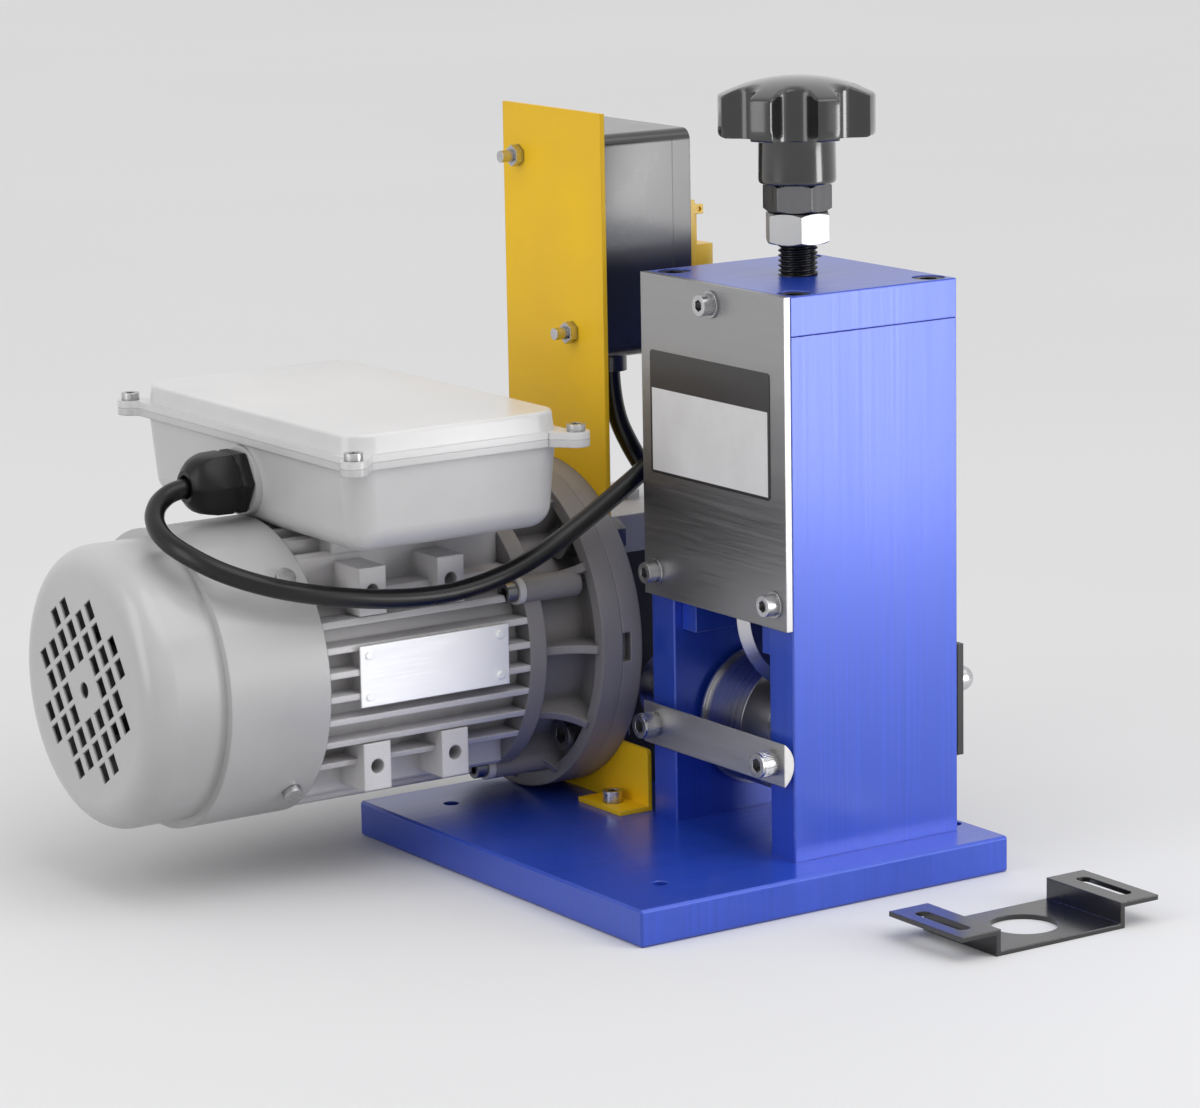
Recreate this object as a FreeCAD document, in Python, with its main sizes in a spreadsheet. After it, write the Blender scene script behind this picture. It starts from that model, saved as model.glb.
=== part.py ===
"""Bench wire stripper with a motor and worm gearbox, as a parametric document.

Millimetres. +Z is up, +X runs from the exit side to the feed side along the motor's axis, and +Y
runs from the operator's side to the motor's side. The origin is the centre of the base plate's
underside.
"""
import FreeCAD, Part
import math
import os
import Sketcher

Vector = FreeCAD.Vector
UP = Vector(0, 0, 1)
AXES = {"x": Vector(1, 0, 0), "y": Vector(0, 1, 0), "z": UP,
        "-x": Vector(-1, 0, 0), "-y": Vector(0, -1, 0), "-z": Vector(0, 0, -1)}

# ---------------------------------------------------------------- driving dimensions

SIZES = {
    # base and tower
    "base_length": 180, "base_width": 210, "base_thickness": 15, "edge_break": 1,
    "base_hole_bore": 6.6, "base_hole_inset": 28, "base_hole_margin": 28, "feed_hole_margin": 6,
    "tower_setback": 87, "tower_margin": 19, "tower_length": 82, "tower_width": 98,
    "side_thickness": 16, "side_height": 210.5, "cap_thickness": 16,
    "frame_screw_bore": 8, "frame_screw_head": 13, "frame_screw_head_height": 8,
    "frame_screw_length": 22, "frame_screw_inset": 8, "screw_clearance": 0.4,
    # guard, exit bar and feed plate
    "guard_thickness": 3, "guard_height": 132.5, "guard_screw_rise": 10,
    "small_screw_bore": 5, "small_screw_head": 8.5, "small_screw_height": 5,
    "small_screw_length": 12, "washer_diameter": 11, "washer_thickness": 1,
    "bar_chord": 17.6, "bar_sag": 4.7, "bar_centre_height": 55.3, "bar_screw_bore": 6,
    "bar_screw_head": 10, "bar_screw_head_height": 8,
    "feed_plate_thickness": 3, "feed_plate_height": 46, "feed_plate_base": 46.5,
    "feed_bore": 18, "feed_bore_height": 79.5, "feed_screw_height": 76, "feed_screw_head": 10.5,
    "feed_screw_nose": 10,
    # blade, roller and carriage
    "roller_setback": 40, "blade_offset": 43, "roller_radius": 28, "groove_radius": 14.5,
    "groove_width": 20, "roller_land": 25, "roller_near_land": 13, "flange_radius": 29.5,
    "flange_thickness": 1.5, "blade_radius": 36.5, "blade_thickness": 7,
    "blade_bevel": 4, "blade_hub_radius": 16, "blade_shaft_diameter": 14, "bush_diameter": 18,
    "running_fit": 0.05, "carriage_length": 72, "carriage_clearance": 0.3, "leg_thickness": 9.7,
    "carriage_foot_wall": 4, "carriage_height": 76, "yoke_thickness": 22,
    "key_width": 10, "key_depth": 5, "key_foot_height": 150, "collar_wall": 3,
    "lift_down": 1.7, "lift_up": 22,
    # adjusting screw, nuts and knob
    "thread_diameter": 16, "screw_neck_diameter": 10, "screw_foot_diameter": 14,
    "screw_foot_thickness": 6, "foot_pocket_depth": 6.6, "thrust_plate_size": 36,
    "thrust_plate_thickness": 6, "nut_across_flats": 24, "lock_nut_height": 12.4,
    "jam_nut_height": 11.2, "jam_nut_turn": 18.3, "lock_nut_gap": 13, "nut_gap": 0.4,
    "knob_radius": 31.5, "knob_hub_radius": 15.7, "knob_hub_length": 18.6, "knob_rim": 17,
    "knob_dome": 7, "knob_lobes": 7, "knob_phase": 26.5, "scallop_radius": 8.5,
    "scallop_centre": 31, "knob_socket_depth": 22,
    # gearbox and drive
    "output_height": 40.5, "centre_distance": 30, "motor_offset": 193.4,
    "bracket_thickness": 2, "gearbox_flange_thickness": 9.5, "flange_outer_radius": 70,
    "bolt_circle": 115, "flange_notch_length": 12, "flange_notch_width": 4,
    "flange_notch_depth": 5, "gearbox_length": 77.4, "gearbox_width": 66, "gearbox_height": 101,
    "gearbox_screw_length": 16, "gearbox_wall": 8, "gearbox_cover_height": 16,
    "gearbox_floor": 12, "cover_thickness": 6, "cover_screw_span": 26, "plug_radius": 6,
    "plug_height": 4, "drive_shaft_diameter": 17, "bearing_diameter": 35, "bearing_width": 10,
    "blind_wall": 1.5, "worm_radius": 9.7, "wheel_radius": 19.7, "wheel_width": 18,
    "wheel_teeth": 20, "tooth_depth": 1,
    # motor
    "motor_flange_thickness": 9.8, "flange_web": 4.5, "shield_length": 29, "shield_wall": 7,
    "shield_ring_length": 8, "flange_recess_wall": 6, "rib_count": 12, "rib_thickness": 3.5,
    "rib_foot": 57, "rib_reach": 67, "rib_hollow": 25, "lug_radius": 5.5, "lug_seat": 3,
    "lug_length": 27, "lug_circle": 118, "lug_turn": 26.5,
    "barrel_length": 101, "barrel_radius": 50, "barrel_bore_radius": 45, "fin_radius": 60,
    "fin_pitch": 9.8, "fin_thickness": 2.6, "pad_length": 12.5, "pad_height": 19.5, "pad_depth": 22,
    "pad_reach": 55, "pad_spacing": 36.8, "pad_rise": 36, "pad_margin": 28, "pad_bore": 6,
    "pad_bore_depth": 12, "saddle_length": 60, "saddle_width": 70,
    "fan_cover_length": 78, "fan_cover_radius": 61, "fan_cover_wall": 1,
    "fan_cover_shoulder": 11.5, "fan_cover_band": 33, "fan_cover_step": 3.5,
    "fan_cover_overlap": 6, "slot_width": 5.9, "slot_height": 7.6,
    "slot_pitch": 9.7, "slot_tilt": -33, "cover_eye": 6.6, "cover_screw_bore": 4,
    "cover_screw_head": 8, "cover_screw_height": 2.6, "cover_screw_length": 8,
    "rear_shield_thickness": 7, "rear_hub_length": 6, "rear_web": 3, "rear_hub_wall": 6.5,
    "shaft_gap": 3, "motor_shaft_diameter": 14, "stator_length": 56,
    "stator_inner_radius": 27.5, "rotor_radius": 27.1, "winding_length": 14,
    "winding_margin": 3, "fan_radius": 48, "fan_width": 30, "fan_blades": 7, "fan_gap": 8,
    "fan_hub_radius": 13, "fan_disc": 2.5,
    "nameplate_length": 70, "nameplate_height": 25, "nameplate_thickness": 0.8,
    "nameplate_start": 11, "nameplate_rise": 3, "nameplate_reach": 60,
    "nameplate_pad_inset": 2, "rivet_radius": 1.6, "rivet_inset": 4, "rivet_height": 0.8,
    # terminal box and gland
    "box_centre": 100, "box_length": 100, "box_width": 172, "box_depth": 34, "box_draft": 4,
    "box_wall": 3, "box_sink": 3.5, "lip_thickness": 3, "ear_overhang": 4,
    "ear_radius": 5.5, "ear_inset": 1.5, "ear_height": 3, "ear_tab": 10, "ear_ease": 0.5,
    "lid_height": 8, "lid_corner": 12,
    "lid_draft": 4, "lid_edge": 1.5, "lid_wall": 2.5, "lid_margin": 6, "wire_hole": 12,
    "box_rounding": 11, "box_foot_ease": 1, "lid_screw_bore": 4, "lid_screw_head": 7.5, "lid_screw_height": 3,
    "gland_rise": 19, "gland_nut_diameter": 28, "gland_nut_length": 13,
    "gland_dome_length": 12, "gland_dome_diameter": 23, "gland_tip_diameter": 17,
    "gland_shank_diameter": 20, "gland_boss_diameter": 28.4, "gland_boss_depth": 10,
    "gland_bore_depth": 10,
    # motor bracket and switch box
    "column_near": 42.8, "column_width": 73.6, "column_top": 302.5, "foot_near": 15.8,
    "foot_width": 31.5, "foot_length": 14, "foot_height": 26, "foot_corner": 2,
    "foot_screw_inset": 7, "flange_nut_height": 6.5, "flange_nut_radius": 7.3,
    "bracket_half_width": 50, "bracket_shoulder": 45, "bracket_bore_radius": 30,
    "box_near": 45, "switch_box_width": 70, "switch_box_depth": 35, "switch_lid_depth": 9,
    "switch_box_foot": 200.6, "switch_box_height": 92.7, "switch_box_corner": 5,
    "switch_box_wall": 2.5, "switch_lid_wall": 3, "box_bolt_near": 65.8, "box_bolt_far": 104.4,
    "box_bolt_low": 210.2, "box_bolt_high": 280.7, "box_bolt_bore": 5, "box_bolt_nut": 9.2,
    "box_bolt_nut_height": 4, "box_bolt_length": 14, "box_bolt_head": 2.5,
    "frame_width": 67, "frame_height": 57, "frame_foot": 206, "frame_thickness": 3,
    "frame_opening": 40, "flap_thickness": 2, "flap_bulge": 8, "flap_barrel_radius": 2,
    "flap_drop": 50, "bulge_drop": 15, "flap_gap": 0.3, "pin_radius": 1, "ear_wall": 1.7,
    "button_width": 15, "button_height": 13, "button_reach": 4, "button_depth": 6,
    "button_low": 211.8, "button_spacing": 16, "button_stop_margin": 1.2,
    "grommet_radius": 7, "grommet_height": 6, "grommet_depth": 5, "grommet_x": 7.4,
    "grommet_y": 55, "slack": 0.3,
    # cable and loose bracket
    "cable_diameter": 8, "hat_web": 63.3, "hat_depth": 45, "hat_thickness": 2, "hat_riser": 8.5,
    "hat_ear": 16.8, "hat_bore": 27, "hat_slot_length": 30, "hat_slot_width": 6,
    "hat_left": 11.5, "hat_near": -195,
}

doc = FreeCAD.newDocument("wire_stripper")
sheet = doc.addObject("Spreadsheet::Sheet", "Sizes")


class Size:
    """A number together with the spreadsheet expression that it comes from."""

    def __init__(self, value, text):
        self.value = value
        self.text = text

    def __add__(self, other):
        other = as_size(other)
        return Size(self.value + other.value, f"({self.text} + {other.text})")

    def __sub__(self, other):
        other = as_size(other)
        return Size(self.value - other.value, f"({self.text} - {other.text})")

    def __mul__(self, other):
        other = as_size(other)
        return Size(self.value * other.value, f"({self.text} * {other.text})")

    def __truediv__(self, other):
        other = as_size(other)
        return Size(self.value / other.value, f"({self.text} / {other.text})")

    def __neg__(self):
        return Size(-self.value, f"(0 - {self.text})")

    __radd__ = __add__

    def __rsub__(self, other):
        return as_size(other) - self

    __rmul__ = __mul__


def as_size(number):
    return number if isinstance(number, Size) else Size(number, str(number))


def angle_of(function, name, size):
    """A sine, cosine or tangent of an angle that the spreadsheet gives in degrees."""
    return Size(function(math.radians(size.value)), f"{name}({size.text} * 1 deg)")


class Sheet:
    """The driving dimensions, one attribute for each cell of the spreadsheet."""


s = Sheet()
for row, (alias, number) in enumerate(SIZES.items(), start=1):
    cell = f"A{row}"
    sheet.set(cell, str(number))
    sheet.setAlias(cell, alias)
    setattr(s, alias, Size(number, f"Sizes.{alias}"))
doc.recompute()

# ---------------------------------------------------------------- modelling helpers

# A hexagon socket's corner radius and depth, as parts of its screw head's width and height.
KEY_RADIUS = 0.29
KEY_DEPTH = 0.55
NUT_CORNER = 30
ALONG = 0.9
ROUND_OFF = 0.01

nodes = []


def bind(thing, name, size):
    """Tie a property to the spreadsheet."""
    thing.setExpression(name, as_size(size).text)


def place(thing, at, axis="z"):
    """Put a thing's origin at a point, with its own Z along an axis."""
    point = [as_size(each) for each in at]
    thing.Placement = FreeCAD.Placement(Vector(*[each.value for each in point]),
                                        FreeCAD.Rotation(UP, AXES[axis]))
    for letter, each in zip("xyz", point):
        thing.setExpression(f"Placement.Base.{letter}", each.text)
    return thing


def block(at, dims):
    box = doc.addObject("Part::Box", "block")
    for name, size in zip(("Length", "Width", "Height"), dims):
        bind(box, name, size)
    return place(box, at)


def rod(radius, length, at, axis="z"):
    cylinder = doc.addObject("Part::Cylinder", "rod")
    bind(cylinder, "Radius", radius)
    bind(cylinder, "Height", length)
    return place(cylinder, at, axis)


def cone(foot_radius, tip_radius, length, at, axis="z"):
    taper = doc.addObject("Part::Cone", "cone")
    bind(taper, "Radius1", foot_radius)
    bind(taper, "Radius2", tip_radius)
    bind(taper, "Height", length)
    return place(taper, at, axis)


def prism(sides, radius, length, at, axis="z"):
    solid = doc.addObject("Part::Prism", "prism")
    solid.Polygon = sides
    bind(solid, "Circumradius", radius)
    bind(solid, "Height", length)
    return place(solid, at, axis)


def fuse(*shapes):
    union = doc.addObject("Part::MultiFuse", "fuse")
    union.Shapes = list(shapes)
    union.Refine = True
    return union


def cut(base, *tools):
    difference = doc.addObject("Part::Cut", "cut")
    difference.Base = base
    difference.Tool = tools[0] if len(tools) == 1 else fuse(*tools)
    return difference


def common(*shapes):
    meet = doc.addObject("Part::MultiCommon", "common")
    meet.Shapes = list(shapes)
    return meet


def tube(outer, inner, length, at, axis="z"):
    return cut(rod(outer, length, at, axis), rod(inner, length, at, axis))


def together(*solids):
    """Several separate solids that share one node."""
    compound = doc.addObject("Part::Compound", "group")
    compound.Links = list(solids)
    return compound


def node(label, thing):
    thing.Label = label
    nodes.append(thing)
    return thing


def new_body(label, at=(0, 0, 0), axis="z"):
    return place(doc.addObject("PartDesign::Body", label + "_body"), at, axis)


def new_sketch(body, plane="XY_Plane", offset=0):
    """A sketch on one of the body's own origin planes, lifted off it by an offset."""
    sketch = body.newObject("Sketcher::SketchObject", "sketch")
    support = [each for each in body.Origin.OriginFeatures if each.Role == plane]
    sketch.AttachmentSupport = [(support[0], "")]
    sketch.MapMode = "FlatFace"
    sketch.setExpression("AttachmentOffset.Base.z", as_size(offset).text)
    return sketch


def pin_point(sketch, geometry, end, point):
    """Fix a point of a sketch at two sizes from the sketch's origin."""
    for kind, size in zip(("DistanceX", "DistanceY"), point):
        size = as_size(size)
        index = sketch.addConstraint(Sketcher.Constraint(kind, geometry, end, float(size.value)))
        sketch.setExpression(f"Constraints[{index}]", size.text)


def outline(sketch, points):
    """A closed run of straight lines through the points."""
    corners = [[as_size(size) for size in point] for point in points]
    first = sketch.GeometryCount
    for start, end in zip(corners, corners[1:] + corners[:1]):
        line = Part.LineSegment(Vector(start[0].value, start[1].value, 0),
                                Vector(end[0].value, end[1].value, 0))
        sketch.addGeometry(line, False)
    for index, point in enumerate(corners):
        following = first + (index + 1) % len(corners)
        sketch.addConstraint(Sketcher.Constraint("Coincident", first + index, 2, following, 1))
        pin_point(sketch, first + index, 1, point)
    return sketch


def rectangle(sketch, low, high):
    return outline(sketch, [low, (high[0], low[1]), high, (low[0], high[1])])


def circle(sketch, centre, radius):
    centre = [as_size(size) for size in centre]
    radius = as_size(radius)
    middle = Vector(centre[0].value, centre[1].value, 0)
    geometry = sketch.addGeometry(Part.Circle(middle, UP, radius.value), False)
    pin_point(sketch, geometry, 3, centre)
    index = sketch.addConstraint(Sketcher.Constraint("Radius", geometry, float(radius.value)))
    sketch.setExpression(f"Constraints[{index}]", radius.text)
    return sketch


def pad(body, sketch, length, taper=0):
    feature = body.newObject("PartDesign::Pad", "pad")
    feature.Profile = sketch
    bind(feature, "Length", length)
    if taper:
        bind(feature, "TaperAngle", taper)
    sketch.Visibility = False
    return feature


def pocket(body, sketch, depth=None, reverse=False):
    """Cut a sketch into the body, through everything both ways if no depth is given."""
    feature = body.newObject("PartDesign::Pocket", "pocket")
    feature.Profile = sketch
    if depth is None:
        feature.Type = "ThroughAll"
        feature.Midplane = True
    else:
        bind(feature, "Length", depth)
        feature.Reversed = reverse
    sketch.Visibility = False
    return feature


def turn(body, sketch, kind="PartDesign::Revolution"):
    """Revolve a sketch on the XZ plane about the body's own Z axis."""
    feature = body.newObject(kind, "turned")
    feature.Profile = sketch
    feature.ReferenceAxis = (sketch, ["V_Axis"])
    feature.Angle = 360
    sketch.Visibility = False
    return feature


def around(body, feature, count):
    """Repeat a feature in a ring about the body's own Z axis."""
    pattern = body.newObject("PartDesign::PolarPattern", "ring")
    pattern.Originals = [feature]
    axis = [each for each in body.Origin.OriginFeatures if each.Role == "Z_Axis"]
    pattern.Axis = (axis[0], [""])
    pattern.Angle = 360
    bind(pattern, "Occurrences", count)
    body.Tip = pattern
    return pattern


def break_edges(body, size, wanted, kind="PartDesign::Chamfer"):
    """Chamfer or fillet the edges of the body's tip that a test picks out."""
    doc.recompute()
    base = body.Tip
    names = [f"Edge{index}" for index, edge in enumerate(base.Shape.Edges, start=1) if wanted(edge)]
    feature = body.newObject(kind, "edges")
    feature.Base = (base, names)
    bind(feature, "Size" if kind.endswith("Chamfer") else "Radius", size)
    return feature


def runs_along(edge, direction):
    """Whether an edge's ends lie nearly along a direction of its body from one another."""
    span = edge.Vertexes[-1].Point - edge.Vertexes[0].Point
    return abs(span.dot(direction)) > ALONG * edge.Length


def is_upright(edge):
    return runs_along(edge, UP)


def is_along_x(edge):
    return runs_along(edge, AXES["x"])


def turned(label, profile, at, axis="z"):
    """A body turned about its own Z axis from (radius, height) points."""
    body = new_body(label, at, axis)
    turn(body, outline(new_sketch(body, "XZ_Plane"), profile))
    return body


def socket_screw(bore, head, head_height, length, at, axis):
    """A socket head cap screw: the point is where the head's underside seats, the axis its nose."""
    back = {"x": "-x", "-x": "x", "y": "-y", "-y": "y", "z": "-z", "-z": "z"}[axis]
    shank = rod(bore / 2, length, at, axis)
    cap = rod(head / 2, head_height, at, back)
    top = list(at)
    index = "xyz".index(axis[-1])
    sign = 1 if axis[0] == "-" else -1
    top[index] = at[index] + sign * head_height
    key = prism(6, head * KEY_RADIUS, head_height * KEY_DEPTH, top, axis)
    return cut(fuse(shank, cap), key)


# ---------------------------------------------------------------- places worked out from the sizes

base_top = s.base_thickness
base_near = -s.base_width / 2
tower_front = s.tower_setback - s.base_length / 2
tower_back = tower_front + s.tower_length
tower_near = base_near + s.tower_margin
tower_far = tower_near + s.tower_width
tower_mid = tower_near + s.tower_width / 2
near_wall = tower_near + s.side_thickness
far_wall = tower_far - s.side_thickness
side_top = base_top + s.side_height
cap_top = side_top + s.cap_thickness
guard_front = tower_front - s.guard_thickness
guard_foot = cap_top - s.guard_height
frame_screw_ends = (tower_near + s.frame_screw_inset, tower_far - s.frame_screw_inset)
frame_screw_lines = (tower_front + s.frame_screw_inset, tower_back - s.frame_screw_inset)
bar_face = tower_front - s.bar_sag

roller_x = tower_front + s.roller_setback
roller_z = base_top + s.output_height
blade_y = tower_near + s.blade_offset
blade_z = roller_z + s.groove_radius + s.lift_down + s.slack + s.blade_radius
groove_near = blade_y - s.groove_width / 2
groove_far = blade_y + s.groove_width / 2
roller_near = groove_near - s.roller_near_land
roller_far = groove_far + s.roller_land + s.flange_thickness

carriage_foot = blade_z - s.bush_diameter / 2 - s.carriage_foot_wall
carriage_top = carriage_foot + s.carriage_height
carriage_near = near_wall + s.carriage_clearance
carriage_far = far_wall - s.carriage_clearance
thrust_top = carriage_top + s.thrust_plate_thickness
lock_nut_foot = cap_top + s.lock_nut_gap
jam_nut_foot = lock_nut_foot + s.lock_nut_height + s.nut_gap
knob_foot = jam_nut_foot + s.jam_nut_height
thread_hole = s.thread_diameter / 2 + s.running_fit

motor_y = s.motor_offset - s.base_width / 2
motor_z = roller_z + s.centre_distance
gearbox_front = roller_x - s.gearbox_length / 2
gearbox_back = gearbox_front + s.gearbox_length
gearbox_near = motor_y - s.gearbox_width / 2
gearbox_far = motor_y + s.gearbox_width / 2
gearbox_top = base_top + s.gearbox_height
bracket_front = gearbox_front - s.bracket_thickness
flange_front = bracket_front - s.gearbox_flange_thickness
shield_front = flange_front - s.motor_flange_thickness
barrel_end = shield_front - s.shield_length
barrel_tail = barrel_end - s.barrel_length
fan_cover_rim = barrel_tail + s.fan_cover_overlap
bearing_radius = s.bearing_diameter / 2
bolt_offset = s.bolt_circle / 2 * math.sqrt(0.5)

bearing_seat = s.shield_length + s.motor_flange_thickness - s.shield_wall
cover_tail = fan_cover_rim - s.fan_cover_length
rear_face = barrel_tail - s.rear_shield_thickness
stator_start = barrel_tail + (s.barrel_length - s.stator_length) / 2
fan_start = rear_face - s.fan_gap - s.fan_width
motor_shaft_end = gearbox_back - s.blind_wall * 2

box_x = -s.box_centre
box_floor = motor_z + s.fan_cover_radius - s.box_sink
gland_z = box_floor + s.gland_rise
lip_foot = box_floor + s.box_depth
lid_foot = lip_foot + s.lip_thickness
cover_foot = lid_foot + s.lip_thickness
gland_face = box_x - s.box_length / 2 - s.ear_inset
gland_tip = gland_face - s.gland_nut_length - s.gland_dome_length
switch_back = gearbox_front
switch_seam = switch_back + s.switch_box_depth
switch_face = switch_seam + s.switch_lid_depth
switch_mid_y = s.box_near + s.switch_box_width / 2
frame_near = switch_mid_y - s.frame_width / 2
frame_top = s.frame_foot + s.frame_height
frame_face = switch_face + s.frame_thickness
flap_axis_z = frame_top - s.flap_barrel_radius * 2
flap_axis_x = frame_face + s.flap_gap + s.flap_barrel_radius


# ---------------------------------------------------------------- base and tower


def base_plate():
    """Blue plate with four mounting holes and sunk screws from below."""
    body = new_body("base_plate", (0, 0, 0))
    half_length = s.base_length / 2
    half_width = s.base_width / 2
    pad(body, rectangle(new_sketch(body), (-half_length, -half_width), (half_length, half_width)),
        s.base_thickness)
    break_edges(body, s.edge_break, lambda edge: True)
    holes = new_sketch(body)
    for x in (s.base_hole_inset - half_length, half_length - s.feed_hole_margin):
        for side in (-1, 1):
            circle(holes, (x, side * (half_width - s.base_hole_margin)), s.base_hole_bore / 2)
    for x, y in base_screw_places():
        circle(holes, (x, y), (s.frame_screw_bore + s.screw_clearance) / 2)
    pocket(body, holes)
    sinks = new_sketch(body)
    for x, y in base_screw_places():
        circle(sinks, (x, y), (s.frame_screw_head + s.screw_clearance) / 2)
    pocket(body, sinks, s.frame_screw_head_height + s.screw_clearance, reverse=True)
    x, y = foot_screw_place()
    tapped = circle(new_sketch(body, offset=s.base_thickness), (x, y), s.small_screw_bore / 2)
    pocket(body, tapped, s.small_screw_length - s.bracket_thickness)
    return node("base_plate", body)


def base_screw_places():
    """Screws into the two side plates, then two into the gearbox."""
    mid = s.side_thickness / 2
    inset = s.frame_screw_inset * 2
    tower = [(x, y) for x in (tower_front + inset, tower_back - inset)
             for y in (tower_near + mid, tower_far - mid)]
    gear = [(x, gearbox_near + inset) for x in (gearbox_front + inset, gearbox_back - inset)]
    return tower + gear


def base_screws():
    seat = s.frame_screw_head_height + s.screw_clearance
    screws = []
    for index, (x, y) in enumerate(base_screw_places()):
        length = s.frame_screw_length if index < 4 else s.gearbox_screw_length
        screws.append(socket_screw(s.frame_screw_bore, s.frame_screw_head,
                                   s.frame_screw_head_height, length, (x, y, seat), "z"))
    return node("base_screws", together(*screws))


def side_plate(label, near, screw_y, wall, inward):
    """One upright: tapped for the base, cap, guard, bar and feed plate, with a bearing seat."""
    plate = new_body(label, (tower_front, near, base_top))
    pad(plate, rectangle(new_sketch(plate), (0, 0), (s.tower_length, s.side_thickness)),
        s.side_height)
    break_edges(plate, s.edge_break / 2, is_upright)
    tapped = s.frame_screw_bore / 2
    mid = near + s.side_thickness / 2
    seat = s.frame_screw_head_height + s.screw_clearance
    tools = [rod(tapped, s.frame_screw_length - base_top + seat, (x, mid, base_top))
             for x in (tower_front + s.frame_screw_inset * 2, tower_back - s.frame_screw_inset * 2)]
    cap_seat = cap_top - seat
    depth = s.frame_screw_length - (cap_seat - side_top)
    tools += [rod(tapped, depth, (x, screw_y, side_top - depth)) for x in frame_screw_lines]
    tools.append(rod(s.bar_screw_bore / 2, s.frame_screw_length - s.bar_sag,
                     (tower_front, screw_y, s.bar_centre_height), "x"))
    tools.append(rod(s.small_screw_bore / 2, s.small_screw_length - s.guard_thickness,
                     (tower_front, screw_y, guard_foot + s.guard_screw_rise), "x"))
    depth = s.small_screw_length - s.feed_plate_thickness
    tools.append(rod(s.small_screw_bore / 2, depth,
                     (tower_back - depth, screw_y, s.feed_screw_height), "x"))
    tools.append(rod(bearing_radius, s.bearing_width, (roller_x, wall, roller_z), inward))
    return plate, tools


def near_side_plate():
    plate, tools = side_plate("near_side_plate", tower_near, frame_screw_ends[0], near_wall, "-y")
    return node("near_side_plate", cut(plate, *tools))


def far_side_plate():
    """The drive shaft passes through this one."""
    plate, tools = side_plate("far_side_plate", far_wall, frame_screw_ends[1], far_wall, "y")
    shaft_hole = rod(s.drive_shaft_diameter / 2 + s.slack, s.side_thickness,
                     (roller_x, far_wall, roller_z), "y")
    return node("far_side_plate", cut(plate, *tools, shaft_hole))


def tower_cap():
    cap = new_body("tower_cap", (tower_front, tower_near, side_top))
    pad(cap, rectangle(new_sketch(cap), (0, 0), (s.tower_length, s.tower_width)), s.cap_thickness)
    break_edges(cap, s.edge_break / 2, lambda edge: True)
    seat = s.frame_screw_head_height + s.screw_clearance
    tools = [rod(thread_hole, s.cap_thickness, (roller_x, tower_mid, side_top))]
    for x in frame_screw_lines:
        for y in frame_screw_ends:
            tools.append(rod(s.frame_screw_bore / 2, s.cap_thickness, (x, y, side_top)))
            tools.append(rod((s.frame_screw_head + s.screw_clearance) / 2, seat,
                             (x, y, cap_top - seat)))
    tools.append(rod(s.small_screw_bore / 2, s.small_screw_length - s.guard_thickness,
                     (tower_front, tower_mid, cap_top - s.cap_thickness / 2), "x"))
    return node("tower_cap", cut(cap, *tools))


def cap_screws():
    seat = cap_top - s.frame_screw_head_height - s.screw_clearance
    screws = [socket_screw(s.frame_screw_bore, s.frame_screw_head, s.frame_screw_head_height,
                           s.frame_screw_length, (x, y, seat), "-z")
              for x in frame_screw_lines for y in frame_screw_ends]
    return node("cap_screws", together(*screws))


def guard_screw_places():
    low = guard_foot + s.guard_screw_rise
    return [(frame_screw_ends[0], low), (frame_screw_ends[1], low),
            (tower_mid, cap_top - s.cap_thickness / 2)]


def guard_plate():
    """Stainless sheet over the upper part of the exit side."""
    guard = new_body("guard_plate", (guard_front, tower_near, guard_foot))
    pad(guard, rectangle(new_sketch(guard, "YZ_Plane"), (0, 0), (s.tower_width, s.guard_height)),
        s.guard_thickness)
    holes = new_sketch(guard, "YZ_Plane")
    for y, z in guard_screw_places():
        circle(holes, (y - tower_near, z - guard_foot), s.small_screw_bore / 2)
    pocket(guard, holes)
    return node("guard_plate", guard)


def guard_screws():
    """Three socket screws, each with a washer under its head."""
    solids = []
    seat = guard_front - s.washer_thickness
    for y, z in guard_screw_places():
        solids.append(socket_screw(s.small_screw_bore, s.small_screw_head, s.small_screw_height,
                                   s.small_screw_length + s.washer_thickness, (seat, y, z), "x"))
        solids.append(tube(s.washer_diameter / 2, s.small_screw_bore / 2, s.washer_thickness,
                           (seat, y, z), "x"))
    return node("guard_screws", together(*solids))


def exit_bar():
    """Half-round bar across the exit, flat side out, its back touching both side plates."""
    chord = s.bar_chord
    radius = (chord * chord / 4 + s.bar_sag * s.bar_sag) / (s.bar_sag * 2)
    round_bar = rod(radius, s.tower_width, (tower_front - radius, tower_near, s.bar_centre_height),
                    "y")
    keep = block((bar_face, tower_near, s.bar_centre_height - radius),
                 (s.bar_sag, s.tower_width, radius * 2))
    bar = common(round_bar, keep)
    holes = [rod(s.bar_screw_bore / 2, s.bar_sag, (bar_face, y, s.bar_centre_height), "x")
             for y in frame_screw_ends]
    return node("exit_bar", cut(bar, *holes))


def exit_bar_screws():
    screws = [socket_screw(s.bar_screw_bore, s.bar_screw_head, s.bar_screw_head_height,
                           s.frame_screw_length, (bar_face, y, s.bar_centre_height), "x")
              for y in frame_screw_ends]
    return node("exit_bar_screws", together(*screws))


def feed_plate():
    """Black plate on the feed side with the wire's entry hole in line with the blade."""
    plate = block((tower_back, tower_near, s.feed_plate_base),
                  (s.feed_plate_thickness, s.tower_width, s.feed_plate_height))
    tools = [rod(s.feed_bore / 2, s.feed_plate_thickness, (tower_back, blade_y, s.feed_bore_height),
                 "x")]
    tools += [rod(s.small_screw_bore / 2, s.feed_plate_thickness,
                  (tower_back, y, s.feed_screw_height), "x") for y in frame_screw_ends]
    return node("feed_plate", cut(plate, *tools))


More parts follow.
